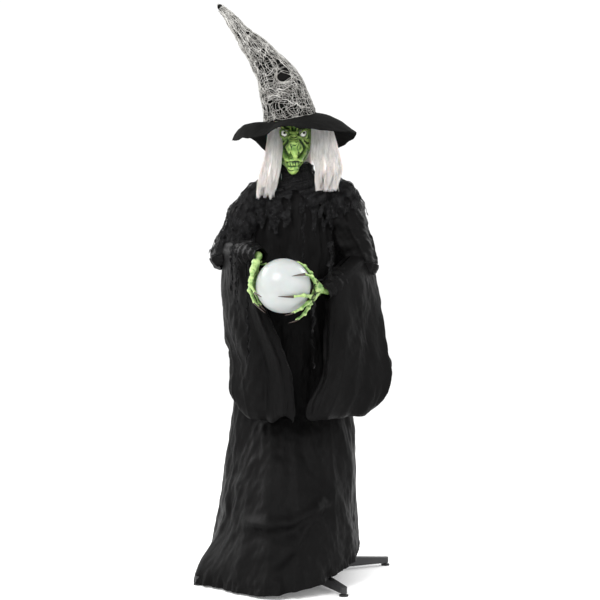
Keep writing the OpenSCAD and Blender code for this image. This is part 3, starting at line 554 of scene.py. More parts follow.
def skirt():
    """The robe from the waist to the floor."""
    n, rows = 560, 200
    a = around(n)
    top, hem = 0.850, 0.005
    leg_lift, foot_bulge, foot_at, foot_spread = 0.066, 0.056, -152, 17
    z = np.linspace(hem, top, rows)
    down = ((top - z) / (top - hem))[:, None]
    grow = folds(a, down, 10, 11, 0.018, (0.10, 0.30), 0.55, (-0.1, 0.65)) * (0.25 + 0.9 * down)
    grow = grow + folds(a, down, 15, 12, 0.0032, (0.04, 0.09), 0.5, (0.0, 0.8))
    P = ovals(SKIRT, z, n, grow)
    crumple = noise(P, (0.10, 0.10, 0.22), 5) * 0.005 + noise(P, (0.03, 0.03, 0.07), 6) * 0.0014
    out = unit(np.stack([np.cos(a), np.sin(a), 0 * a], -1)) * np.ones((rows, 1, 1))
    P = shift(P, out, crumple)
    # Slanting buckles across the front, where the cloth is caught over the flare.
    for line, tall, wide in SKIRT_RIDGES:
        bank = tall * ridge_line(P, line, wide)
        gully = 0.6 * tall * ridge_line(P + [0, 0, 0.026], line, wide * 1.3)
        P = shift(P, out, bank - gully)
    # The hem rests on the floor in front and at the back and stays up over the leg on the figure's left.
    where = np.arctan2(P[0, :, 1], P[0, :, 0])
    deg = np.degrees(where)
    rim = np.stack([np.cos(where), np.sin(where)], -1)
    lift = leg_lift * step(-118, -20, deg) * (1 - step(45, 80, deg)) + 0.004 * noise(rim, 0.7, 8)
    lift = np.clip(lift, 0.0, None)
    P[..., 2] += lift[None, :] * (1 - step(0.0, 0.22, z))[:, None]
    # The cloth lies over the foot at the figure's front right.
    over = foot_bulge * np.exp(-((deg - foot_at) / foot_spread) ** 2)[None, :]
    P = shift(P, out, over * (1 - step(0.015, 0.17, z))[:, None])
    low = 1 - step(0.0, 0.05, z)[:, None]
    P = shift(P, out, low * 0.006 * noise(rim * 4, 0.6, 9)[None, :])
    seam = np.exp(-((z - hem - 0.016) / 0.0014) ** 2)[:, None] * 0.0012
    P = shift(P, out, -seam)
    ob = grid("robe_skirt_cloth", P, ROBE, "robe_cloth", body="stand", replaces=["robe_skirt"],
              uv=ring_lengths(P))


def bodice():
    """The robe from the collar to below the waist."""
    n, rows = 300, 90
    z = np.linspace(0.795, 1.145, rows)
    a = around(n)
    down = ((1.145 - z) / 0.350)[:, None]
    P = ovals(BODICE, z, n, folds(a, down, 17, 21, 0.006, (0.06, 0.14), 0.2, (-0.3, 0.5)))
    P = shift(P, unit(P * [1, 1, 0]), noise(P, (0.05, 0.05, 0.12), 22) * 0.003)
    ob = grid("robe_bodice_cloth", P, ROBE, "robe_cloth", body="stand", replaces=["robe_bodice"],
              uv=ring_lengths(P))


def bell(side, table, seed):
    """The wide hanging sleeve below the elbow."""
    n, rows = 300, 170
    top, hem = table[-1, 0], table[0, 0]
    z = hem + (top - hem) * np.linspace(0, 1, rows) ** 0.8
    a = around(n)
    down = ((top - z) / (top - hem))[:, None]
    grow = folds(a, down, 8, seed, 0.015, (0.12, 0.34), 0.8, (0.0, 0.5)) * step(0.05, 0.6, down)
    grow = grow + folds(a, down, 11, seed + 1, 0.0030, (0.04, 0.09), 0.8, (0.1, 0.7)) * step(0.02, 0.3,
                                                                                             down)
    grow = grow - 0.013 * np.exp(-((z - hem) / 0.009))[:, None]
    P = ovals(table, z, n, grow)
    out = P - P.mean(axis=1, keepdims=True)
    out[..., 2] = 0
    out = unit(out)
    crumple = noise(P, (0.09, 0.09, 0.16), seed + 2) * 0.006 + noise(P, (0.03, 0.03, 0.06),
                                                                     seed + 3) * 0.0015
    P = shift(P, out, crumple * step(0.03, 0.2, down))
    where = np.arange(n) * PI2 / n
    sway = 0.010 * noise(np.stack([np.cos(where), np.sin(where)], -1), 1.1, seed + 4, 2)
    # The hem is rounded up at its outer corner.
    rise, outer = (0.080, math.pi) if side == "right" else (0.105, 0.0)
    corner = rise * np.clip((np.cos(where - outer) - 0.25) / 0.75, 0, 1) ** 2
    P[..., 2] += (sway + corner)[None, :] * (1 - step(hem, hem + 0.24, z))[:, None]
    seam = np.exp(-((z - hem - 0.014) / 0.0013) ** 2)[:, None] * 0.0012
    P = shift(P, out, -seam)
    name = f"sleeve_{side}_cloth"
    ob = grid(name, P, ROBE, "robe_cloth", body=f"{side}_arm_lower", replaces=[f"sleeve_{side}"],
              uv=ring_lengths(P))


SIGN = {"right": -1, "left": 1}
ELBOW = {"right": np.array([-0.195, 0, 0.905]), "left": np.array([0.190, 0, 0.885])}
WRIST = {"right": np.array([-0.096, -0.200, 0.884]), "left": np.array([0.086, -0.158, 0.792])}


def arm_tube_points(side, grow=0.0, rows=120, n=220, seed=41, start=0.0, end=1.0):
    """The wide upper sleeve from the neckline over the shoulder to the elbow, as rings along the arm."""
    s = SIGN[side]
    e = ELBOW[side]
    # Centre, half height and half depth along the arm.
    if side == "right":
        top = [[-0.040, 0.002, 1.072, 0.040, 0.052], [-0.090, 0.000, 1.046, 0.050, 0.058],
               [-0.130, -0.002, 1.005, 0.045, 0.058],
               [-0.152, -0.006, 0.955, 0.045, 0.060], [-0.178, -0.012, 0.912, 0.038, 0.058]]
    else:
        top = [[0.045, 0.002, 1.076, 0.042, 0.052], [0.104, 0.000, 1.056, 0.053, 0.058],
               [0.140, -0.002, 1.012, 0.054, 0.060],
               [0.156, -0.006, 0.955, 0.050, 0.060], [0.176, -0.012, 0.908, 0.046, 0.060]]
    line = np.array(top + [[e[0] + 0.002 * s, -0.020, e[2] - 0.022, 0.034, 0.050],
                           [e[0] - 0.006 * s, -0.024, e[2] - 0.042, 0.018, 0.032]])
    t = np.linspace(start, end, rows)
    c = curve(np.linspace(0, 1, len(line)), line, t)
    tang = unit(np.gradient(c[:, :3], axis=0))
    depth = np.array([0, 1.0, 0])
    lift = unit(np.cross(tang, depth))
    lift = lift * np.sign(lift[:, 2:3] + 1e-9)
    a = around(n)
    down = t[:, None]
    fade = np.sin(np.clip(t, 0.05, 0.95) * math.pi)[:, None] ** 0.5
    g = folds(a, down, 8, seed, 0.008, (0.12, 0.30), 0.9, (-0.3, 0.5)) * fade + grow
    # Cloth sags below the arm and lies close on top of it.
    sag = 1 + 0.25 * np.clip(-np.sin(a), 0, 1)
    P = (c[:, None, :3] + ((c[:, None, 3:4] + g[..., None]) * (np.sin(a) * sag)[..., None]) * lift[:, None]
         + ((c[:, None, 4:5] + g[..., None]) * np.cos(a)[..., None]) * unit(np.cross(lift, tang))[:, None])
    body = unit(P - c[:, None, :3])
    return shift(P, body, noise(P, 0.055, seed + 2) * 0.0045)


def upper_sleeve(side, seed):
    """The sleeve over the shoulder and upper arm, laid along the bent line of the arm."""
    P = arm_tube_points(side, seed=seed)
    ob = grid(f"sleeve_{side}_upper_cloth", P, ROBE, "robe_cloth", uv=ring_lengths(P))
    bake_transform(ob)


skirt()
bodice()
bell("right", BELL_RIGHT, 51)
bell("left", BELL_LEFT, 61)
upper_sleeve("right", 41)
upper_sleeve("left", 45)

# ------------------------------------------------------------------ gauze

def ragged(P, seed, edge_rows, hole=0.0, wrap=True):
    """Which quads of a gauze sheet stay: torn away near its last rows, with some holes."""
    nv = len(P)
    Q = 0.25 * (P[:-1] + P[1:] + np.roll(P, -1, 1)[:-1] + np.roll(P, -1, 1)[1:])
    if not wrap:
        Q = Q[:, :-1]
    v = np.linspace(0, 1, nv - 1)[:, None]
    tear = 0.5 + 0.5 * noise(Q, (0.028, 0.028, 0.11), seed)
    keep = v < 1 - edge_rows * tear
    if hole:
        keep &= noise(Q, (0.03, 0.03, 0.045), seed + 1, 2) < 1.15 - hole
    return keep


def shawl():
    """High collar and cape of black gauze round the neck, shoulders and chest."""
    n, rows = 420, 150
    t = np.linspace(0, 1, rows)
    table = np.array([
        [0.00, 0.000, -0.004, 0.050, 0.052, 1.146], [0.08, 0.000, -0.004, 0.053, 0.056, 1.130],
        [0.20, 0.000, -0.002, 0.068, 0.064, 1.112], [0.34, 0.000, 0.000, 0.102, 0.072, 1.088],
        [0.50, 0.000, 0.000, 0.128, 0.080, 1.052], [0.70, 0.000, 0.001, 0.136, 0.085, 0.995],
        [1.00, 0.000, 0.002, 0.134, 0.086, 0.905]])
    c = curve(table[:, 0], table[:, 1:], t)
    a = around(n)
    g = folds(a, t[:, None], 23, 71, 0.008, (0.05, 0.12), 0.5, (-0.4, 0.4))
    P = np.stack([c[:, 0:1] + (c[:, 2:3] + g) * np.cos(a), c[:, 1:2] + (c[:, 3:4] + g) * np.sin(a),
                  c[:, 4:5] + 0 * a], -1)
    out = unit(P * [1, 1, 0])
    P = shift(P, out, noise(P, 0.036, 72) * 0.0036 + noise(P, 0.012, 73) * 0.0010)
    P[..., 2] += noise(P * [1, 1, 0], 0.05, 74) * 0.006
    front = np.abs((a + math.pi / 2 + math.pi) % PI2 - math.pi)
    keep = ragged(P, 75, 0.55, 0.25)
    gap = 0.10 + 0.05 * noise(P[:-1], (0.05, 0.05, 0.04), 76)
    keep &= ~((front < gap) & (t[:-1, None] > 0.42))
    ob = grid("gauze_shawl_cloth", P, GAUZE, "gauze_cloth", keep=keep, body="stand",
              replaces=["gauze_shawl", "neck_wrap"], uv=ring_lengths(P))


def gauze_sleeve(side, seed, end):
    """Gauze over the top of the arm, down to the share end of it."""
    P = arm_tube_points(side, grow=0.0055, rows=130, n=260, seed=41 if side == "right" else 45, start=0.04,
                        end=end)
    P = shift(P, outward(P), noise(P, 0.030, seed + 5) * 0.0026 + noise(P, 0.010, seed + 6) * 0.0008)
    ob = grid(f"gauze_{side}_arm_cloth", P, GAUZE, "gauze_cloth", keep=ragged(P, seed + 7, 0.35, 0.3),
              uv=ring_lengths(P))
    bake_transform(ob)


def strip(name, path, width, seed, body, spread=(1, 0, 0), crumple=0.005):
    """A narrow torn length of gauze hanging along a path."""
    path = np.asarray(path, float)
    rows, n = 120, 46
    t = np.linspace(0, 1, rows)
    c = curve(np.linspace(0, 1, len(path)), path, t)
    u = np.linspace(-1, 1, n)[None, :]
    across = unit(np.asarray(spread, float))
    normal = unit(np.cross(across, [0, 0, 1.0]))
    w = width * (0.75 + 0.35 * noise(t * 0.5, 0.3, seed, 2))[:, None]
    wave = np.sin(u * 5.2 + noise(t * 0.4, 0.16, seed + 1, 2)[:, None] * 2.2 + seed) * crumple
    P = (c[:, None] + (u * w * 0.62)[..., None] * across + (wave * (0.35 + t[:, None]))[..., None] * normal)
    lift, slip = noise(P, 0.02, seed + 2) * 0.004, noise(P, 0.025, seed + 3) * 0.004
    P = shift(shift(P, normal, lift), across, slip)
    keep = ragged(P, seed + 4, 0.5, 0.3, wrap=False)
    side_tear = np.abs(u[:, :-1]) < 0.62 + 0.42 * noise(P[:-1, :-1], (0.02, 0.02, 0.05), seed + 5, 2)
    ob = grid(name, P, GAUZE, "gauze_cloth", wrap=False, keep=keep & side_tear, body=body,
              uv=ring_lengths(P))


def cuff(side, seed):
    """Bunched robe cloth round the wrist, open where the hand comes out."""
    w, e = WRIST[side], ELBOW[side]
    fore = unit(w - e)
    rows, n = 60, 120
    t = np.linspace(0, 1, rows)
    across = unit(np.cross(fore, [0, 0, 1.0]))
    up = np.cross(across, fore)
    a = around(n)
    r = 0.031 - 0.013 * step(0.3, 0.95, t) + 0.0018 * np.sin(t * 26 + seed)
    r = r[:, None] + folds(a, t[:, None], 7, seed, 0.0030, (0.12, 0.3), 0.9, (-0.3, 0.3))
    P = (w - fore * 0.085 + fore * 0.104
         * t[:, None])[:, None] + r[..., None] * (np.cos(a)[..., None] * across + np.sin(a)[..., None] * up)
    P = shift(P, outward(P), noise(P, 0.02, seed + 2) * 0.0016)
    ob = grid(f"cuff_{side}_cloth", P, ROBE, "robe_cloth", body=f"{side}_arm_lower", uv=ring_lengths(P))


cuff("right", 661)
cuff("left", 667)
shawl()
gauze_sleeve("right", 81, 0.93)
gauze_sleeve("left", 91, 0.42)
strip("gauze_strand_a_cloth",
      [[-0.165, -0.095, 0.945], [-0.168, -0.146, 0.880], [-0.167, -0.156, 0.820], [-0.166, -0.156, 0.757]],
      0.016, 601, "right_arm_lower")
strip("gauze_strand_b_cloth",
      [[-0.149, -0.110, 0.945], [-0.153, -0.170, 0.860], [-0.151, -0.174, 0.740], [-0.147, -0.170, 0.605]],
      0.013, 611, "right_arm_lower")
strip("gauze_strand_c_cloth",
      [[-0.118, -0.135, 0.930], [-0.124, -0.194, 0.840], [-0.121, -0.202, 0.700], [-0.122, -0.198, 0.545]],
      0.014, 621, "right_arm_lower")
strip("gauze_strand_d_cloth",
      [[0.098, -0.125, 0.925], [0.096, -0.160, 0.885], [0.094, -0.192, 0.840], [0.092, -0.200, 0.788]],
      0.018, 631, "left_arm_lower")
strip("gauze_strand_e_cloth",
      [[0.066, -0.205, 0.822], [0.052, -0.276, 0.792], [0.047, -0.286, 0.690], [0.046, -0.272, 0.525]],
      0.013, 641, "left_arm_lower")
strip("gauze_strand_f_cloth",
      [[0.019, -0.086, 1.010], [0.023, -0.098, 0.950], [0.022, -0.103, 0.900], [0.024, -0.102, 0.846]],
      0.008, 651, "stand", crumple=0.003)

# ------------------------------------------------------------------ hat

HAT = np.array([
    [-0.014, 1.279, 0.0715, 10.5], [-0.026, 1.325, 0.067, 14], [-0.042, 1.369, 0.060, 20],
    [-0.072, 1.423, 0.044, 30],
    [-0.114, 1.473, 0.031, 38], [-0.153, 1.518, 0.020, 41], [-0.184, 1.559, 0.0125, 44],
    [-0.210, 1.586, 0.0075, 46]])


def hat_point(t, a, grow=0.0):
    """The hat's surface: t runs from the brim (0) to the tip (1), a round it."""
    c = curve(np.linspace(0, 1, len(HAT)), HAT, t)
    lean = np.radians(c[..., 3])
    r = c[..., 2] + grow
    p = r * np.cos(a)
    return np.stack([c[..., 0] + p * np.cos(lean), r * np.sin(a), c[..., 1] + p * np.sin(lean)], -1)


def hat_wrinkle(t, a):
    """Creases where the cone bends, deepest inside the bend."""
    inside = 0.5 - 0.5 * np.cos(a - 0.2)
    bent = step(0.25, 0.45, t)
    ring = np.sin(t * 34 + 1.3 * np.cos(a) + 0.8 * np.sin(2 * a)) * bent * (1 - step(0.8, 0.95, t))
    spot = np.stack([np.cos(a) * 0.06, np.sin(a) * 0.06, t * 0.33], -1)
    return ring * 0.0022 * (0.3 + inside) + noise(spot, 0.07, 101) * 0.0028


def hat_cone():
    n, rows = 160, 200
    t = np.linspace(0, 1, rows)[:, None] + np.zeros((1, n))
    a = around(n) + np.zeros((rows, 1))
    P = hat_point(t, a, hat_wrinkle(t, a) * (1 - 0.6 * t))
    P[..., 2] += (0.012 * np.sin(a) - 0.003) * (1 - step(0.0, 0.16, t))
    tip_rows = 12
    tip = hat_point(np.full((tip_rows, n), 1.0), a[:tip_rows], -np.linspace(0, 0.0074, tip_rows)[:, None])
    rise = np.sqrt(np.linspace(0, 1, tip_rows))[:, None]
    tip[..., 2] += rise * 0.007
    tip[..., 0] -= rise * 0.006
    P = np.concatenate([P, tip])
    ob = grid("hat_cone_cloth", P, HAT_CLOTH, "hat_cloth", body="head", replaces=["hat_cone"],
              uv=ring_lengths(P))


# Round the brim, from the front: degrees from the figure's left, height of its edge and its radius.
BRIM = np.array([
    [-90, 1.231, 0.158, 1.5], [-62, 1.226, 0.165, 1.5], [-35, 1.227, 0.176, 1.6], [-10, 1.231, 0.184, 1.8],
    [8, 1.230, 0.186, 1.9],
    [28, 1.214, 0.176, 1.9], [50, 1.200, 0.166, 1.7], [75, 1.204, 0.165, 1.6], [100, 1.202, 0.166, 1.6],
    [115, 1.199, 0.168, 1.6],
    [128, 1.228, 0.166, 2.0], [145, 1.240, 0.164, 3.0], [163, 1.234, 0.163, 4.5], [180, 1.214, 0.162, 5.5],
    [198, 1.207, 0.162, 5.0],
    [216, 1.206, 0.160, 3.6], [233, 1.208, 0.157, 2.4], [247, 1.215, 0.156, 1.8], [258, 1.228, 0.157, 1.6],
    [270, 1.231, 0.158, 1.5]])


def hat_brim():
    n, rows = 360, 70
    a = around(n) + np.zeros((rows, 1))
    t = np.linspace(0, 1, rows)[:, None] + np.zeros((1, n))
    c, s = np.cos(a), np.sin(a)
    seen = (np.degrees(a[0]) + 90) % 360 - 90
    o = curve(BRIM[:, 0], BRIM[:, 1:], seen)
    edge, rim, curl = o[None, :, 0], o[None, :, 1], o[None, :, 2]
    inner, felt = 0.064, 0.0022
    r = inner + (rim - inner) * t
    root = 1.2755 + 0.0155 * c + 0.012 * s
    ripple = (np.cos(5 * a + 0.8) * 0.6 + np.sin(7 * a + 1.0) * 0.4) * 0.005
    z = root + (edge - root) * t**curl + ripple * t * (1 - 0.6 * t)
    P = np.stack([-0.014 + r * c, r * s, z], -1)
    P[..., 2] += noise(P, 0.06, 111) * 0.0028 * t
    P[..., 2] += np.exp(-((r - inner) / 0.006) ** 2) * 0.002
    under = P[::-1].copy()
    under[..., 2] -= felt
    band = np.concatenate([P, under])
    last = (2 * rows - 1) * n
    j = np.arange(n)
    k = (j + 1) % n
    faces = np.concatenate([grid_faces(2 * rows, n, True), np.stack([last + j, last + k, k, j], -1)])
    ob = make("hat_brim_cloth", band.reshape(-1, 3), faces, HAT_CLOTH, "hat_cloth", body="head",
              replaces=["hat_brim"],
              uv=ring_lengths(band).reshape(-1, 2))


def net_lines(count_a, count_t, seed, holes):
    """Threads of a torn net on the hat: one set runs up it, one round it, both pulled apart at the holes."""
    rng = np.random.default_rng(seed)
    m_t, m_a = 150, 200

    def place(t, a):
        w = np.stack([np.cos(a) * 0.067, np.sin(a) * 0.067, t * 0.33], -1)
        t2 = t + 0.016 * noise(w, 0.030, seed + 1) + 0.004 * noise(w, 0.010, seed + 2)
        a2 = a + 0.18 * noise(w, 0.034, seed + 3) + 0.045 * noise(w, 0.011, seed + 4)
        for ht, ha, rt, ra in holes:
            dt, da = (t2 - ht) / rt, ((a2 - ha + math.pi) % PI2 - math.pi) / ra
            d = np.sqrt(dt**2 + da**2) + 1e-6
            push = np.where(d < 2.2, (1 - d / 2.2) ** 2 * 1.15 / d, 0)
            t2, a2 = t2 + dt * push * rt, a2 + da * push * ra
        t2 = np.clip(t2, -0.022, 0.985)
        bulge = 0.0022 + 0.0012 * noise(w, 0.02, seed + 5)
        p = hat_point(t2, a2, bulge + hat_wrinkle(t2, a2) * (1 - 0.6 * np.clip(t2, 0, 1)))
        p[..., 2] += (0.012 * np.sin(a2) - 0.003) * (1 - step(0.0, 0.16, t2))
        return p

    lines, radii = [], []

    def cut(line, keep_chance, r):
        n, i = len(line), 0
        while i < n - 6:
            k = int(rng.uniform(18, 70))
            if rng.random() < keep_chance:
                piece = line[i:i + k + 3]
                if len(piece) > 4:
                    lines.append(piece)
                    radii.append(r * rng.uniform(0.7, 1.35))
            i += k

    for k in range(count_a):
        a0 = PI2 * (k + rng.uniform(-0.3, 0.3)) / count_a
        t0 = rng.uniform(-0.022, 0.012)
        t = np.linspace(t0, 0.985, m_t)
        cut(place(t, np.full(m_t, a0) + 0.25 * (t - 0.5) * rng.uniform(-1, 1)), 0.84, 0.00048)
    for k in range(count_t):
        t0 = (k + rng.uniform(-0.3, 0.3)) / count_t
        a = np.linspace(0, PI2, m_a)
        cut(place(np.full(m_a, t0), a), 0.80 if t0 < 0.9 else 0.5, 0.00050)
    # Stray threads that cross the net at a slant, and a few thick bunched ones.
    for k in range(170):
        t0, a0 = rng.uniform(0, 0.93), rng.uniform(0, PI2)
        span = rng.uniform(0.05, 0.16)
        s = np.linspace(0, 1, 26)
        thick = rng.random() < 0.3
        lines.append(place(t0 + span * s * rng.uniform(-1, 1), a0 + s * rng.uniform(-1.6, 1.6)))
        radii.append(0.0016 * np.sin(np.clip(s, 0.03, 0.97) * math.pi) if thick else 0.0005)
    # A tuft of loose ends past the tip.
    top = hat_point(np.array(1.0), np.array(0.0))
    for k in range(26):
        s = np.linspace(0, 1, 10)[:, None]
        way = np.array([rng.normal(-0.3, 0.5), rng.normal(0, 0.5), rng.uniform(0.2, 1.0)]) * 0.009
        lines.append(top + [-0.003, 0, -0.004] + way * s + rng.normal(0, 0.001, 3) * np.sin(s * 5))
        radii.append(0.0005)
    return lines, radii


def hat_net():
    holes = [(0.30, -1.30, 0.034, 0.30), (0.335, -1.02, 0.020, 0.16), (0.24, -0.75, 0.016, 0.12),
             (0.14, -2.3, 0.014, 0.16),
             (0.66, -1.2, 0.012, 0.3), (0.30, 0.6, 0.030, 0.25), (0.50, 1.6, 0.035, 0.3),
             (0.20, 2.4, 0.025, 0.22)]
    lines, radii = net_lines(92, 86, 121, holes)
    tubes("hat_net_threads", lines, radii, NET_THREAD, "hat_cloth", body="head")


hat_cone()
hat_brim()
hat_net()

# ------------------------------------------------------------------ solids grown from distance fields

class Field:
    """Signed distances on a grid, in metres. Shapes are joined or cut smoothly."""

    FAR = 0.05

    def __init__(self, lo, hi, h):
        self.lo, self.h = np.asarray(lo, float), h
        self.shape = tuple(int(math.ceil((b - a) / h)) + 1 for a, b in zip(lo, hi))
        self.d = np.full(self.shape, self.FAR, np.float32)

    def block(self, pts, margin):
        pts = np.atleast_2d(pts)
        a = np.clip(((pts.min(0) - margin - self.lo) / self.h).astype(int), 0, np.array(self.shape) - 1)
        b = np.clip(((pts.max(0) + margin - self.lo) / self.h).astype(int) + 2, 1, self.shape)
        s = tuple(slice(i, j) for i, j in zip(a, b))
        axes = [self.lo[k] + self.h * np.arange(a[k], b[k]) for k in range(3)]
        return s, np.stack(np.meshgrid(*axes, indexing="ij"), -1)

    def blend(self, s, new, k, cut=False):
        old = self.d[s]
        if cut:
            new = -new
            h = np.clip(0.5 - 0.5 * (new - old) / k, 0, 1)
            self.d[s] = h * old + (1 - h) * new + k * h * (1 - h)
        else:
            h = np.clip(0.5 + 0.5 * (old - new) / k, 0, 1)
            self.d[s] = old * (1 - h) + new * h - k * h * (1 - h)

    def capsule(self, a, b, ra, rb, k=0.003, cut=False):
        a, b = np.asarray(a, float), np.asarray(b, float)
        s, q = self.block([a, b], max(ra, rb) + 4 * k + 0.002)
        ab = b - a
        t = np.clip(((q - a) @ ab) / max(ab @ ab, 1e-12), 0, 1)
        d = np.linalg.norm(q - a - t[..., None] * ab, axis=-1) - (ra + (rb - ra) * t)
        self.blend(s, d, k, cut)

    def egg(self, c, r, k=0.003, cut=False):
        c, r = np.asarray(c, float), np.asarray(r, float)
        s, q = self.block([c - r, c + r], 4 * k + 0.002)
        p = (q - c) / r
        n = np.linalg.norm(p, axis=-1)
        d = n * (n - 1) / np.maximum(np.linalg.norm(p / r, axis=-1), 1e-9)
        self.blend(s, d, k, cut)

    def mesh(self, name, mat, slot, place=None, smooth=3, relief=None, paint=(), **kw):
        g = openvdb.FloatGrid(self.FAR)
        g.copyFromArray(self.d)
        pts, tris, quads = g.convertToPolygons(isovalue=0.0, adaptivity=0.0)
        pts = self.lo + pts * self.h
        faces = [list(map(int, f)) for f in quads] + [list(map(int, f)) for f in tris]
        edges = np.concatenate([quads[:, [0, 1]], quads[:, [1, 2]], quads[:, [2, 3]],
                                quads[:, [3, 0]]]).astype(int)
        pts, cavity = relax(pts, edges, smooth)
        # Dark along the listed grooves and eye rims: the mask's own crease paint together with painted shade
        # in the grooves.
        dark = np.zeros(len(pts))
        for a, b, r, much in paint:
            near = np.nonzero((np.abs(pts - (a + b) / 2) < np.abs(b - a) / 2 + 2.2 * r).all(1))[0]
            p, ab = pts[near], b - a
            t = np.clip((p - a) @ ab / max(ab @ ab, 1e-12), 0, 1)
            away = np.linalg.norm(p - a - t[:, None] * ab, axis=1)
            dark[near] = np.maximum(dark[near], much * np.exp(-(away / r) ** 2 * 1.3))
        if relief is not None:
            pts = relief(pts)
        if place is not None:
            pts = place(pts)
        ob = make(name, pts, [f[::-1] for f in faces], mat, slot, **kw)
        # The cavity drives painted shade in the hollows and a painted highlight on the raised parts, along
        # with the latex's own paint.
        layer = ob.data.attributes.new("cavity", "FLOAT", "POINT")
        layer.data.foreach_set("value", cavity.astype(np.float32))
        layer = ob.data.attributes.new("paint", "FLOAT", "POINT")
        layer.data.foreach_set("value", dark.astype(np.float32))
        return ob


def relax(pts, edges, times):
    """Points after a little smoothing, and how deep in a hollow each lies, 0.5 being flat."""
    n = len(pts)
    count = np.maximum(np.bincount(edges.ravel(), minlength=n), 1)[:, None]

    def pull(p):
        a, b = edges.T
        s = np.stack([np.bincount(a, p[b, k], n) + np.bincount(b, p[a, k], n) for k in range(3)], -1)
        return s / count

    for _ in range(times):
        pts = 0.5 * pts + 0.5 * pull(pts)
    far, reach, deepest = pts, 24, 0.0022
    for _ in range(reach):
        far = pull(far)
    centre = pts.mean(0)
    depth = ((far - pts) * unit(pts - centre)).sum(-1)
    return pts, np.clip(0.5 + depth / deepest, 0, 1)


# ------------------------------------------------------------------ face mask

HEAD = np.array([-0.003, 0.0, 1.225])
EYE = np.array([0.025, -0.061, -0.001])


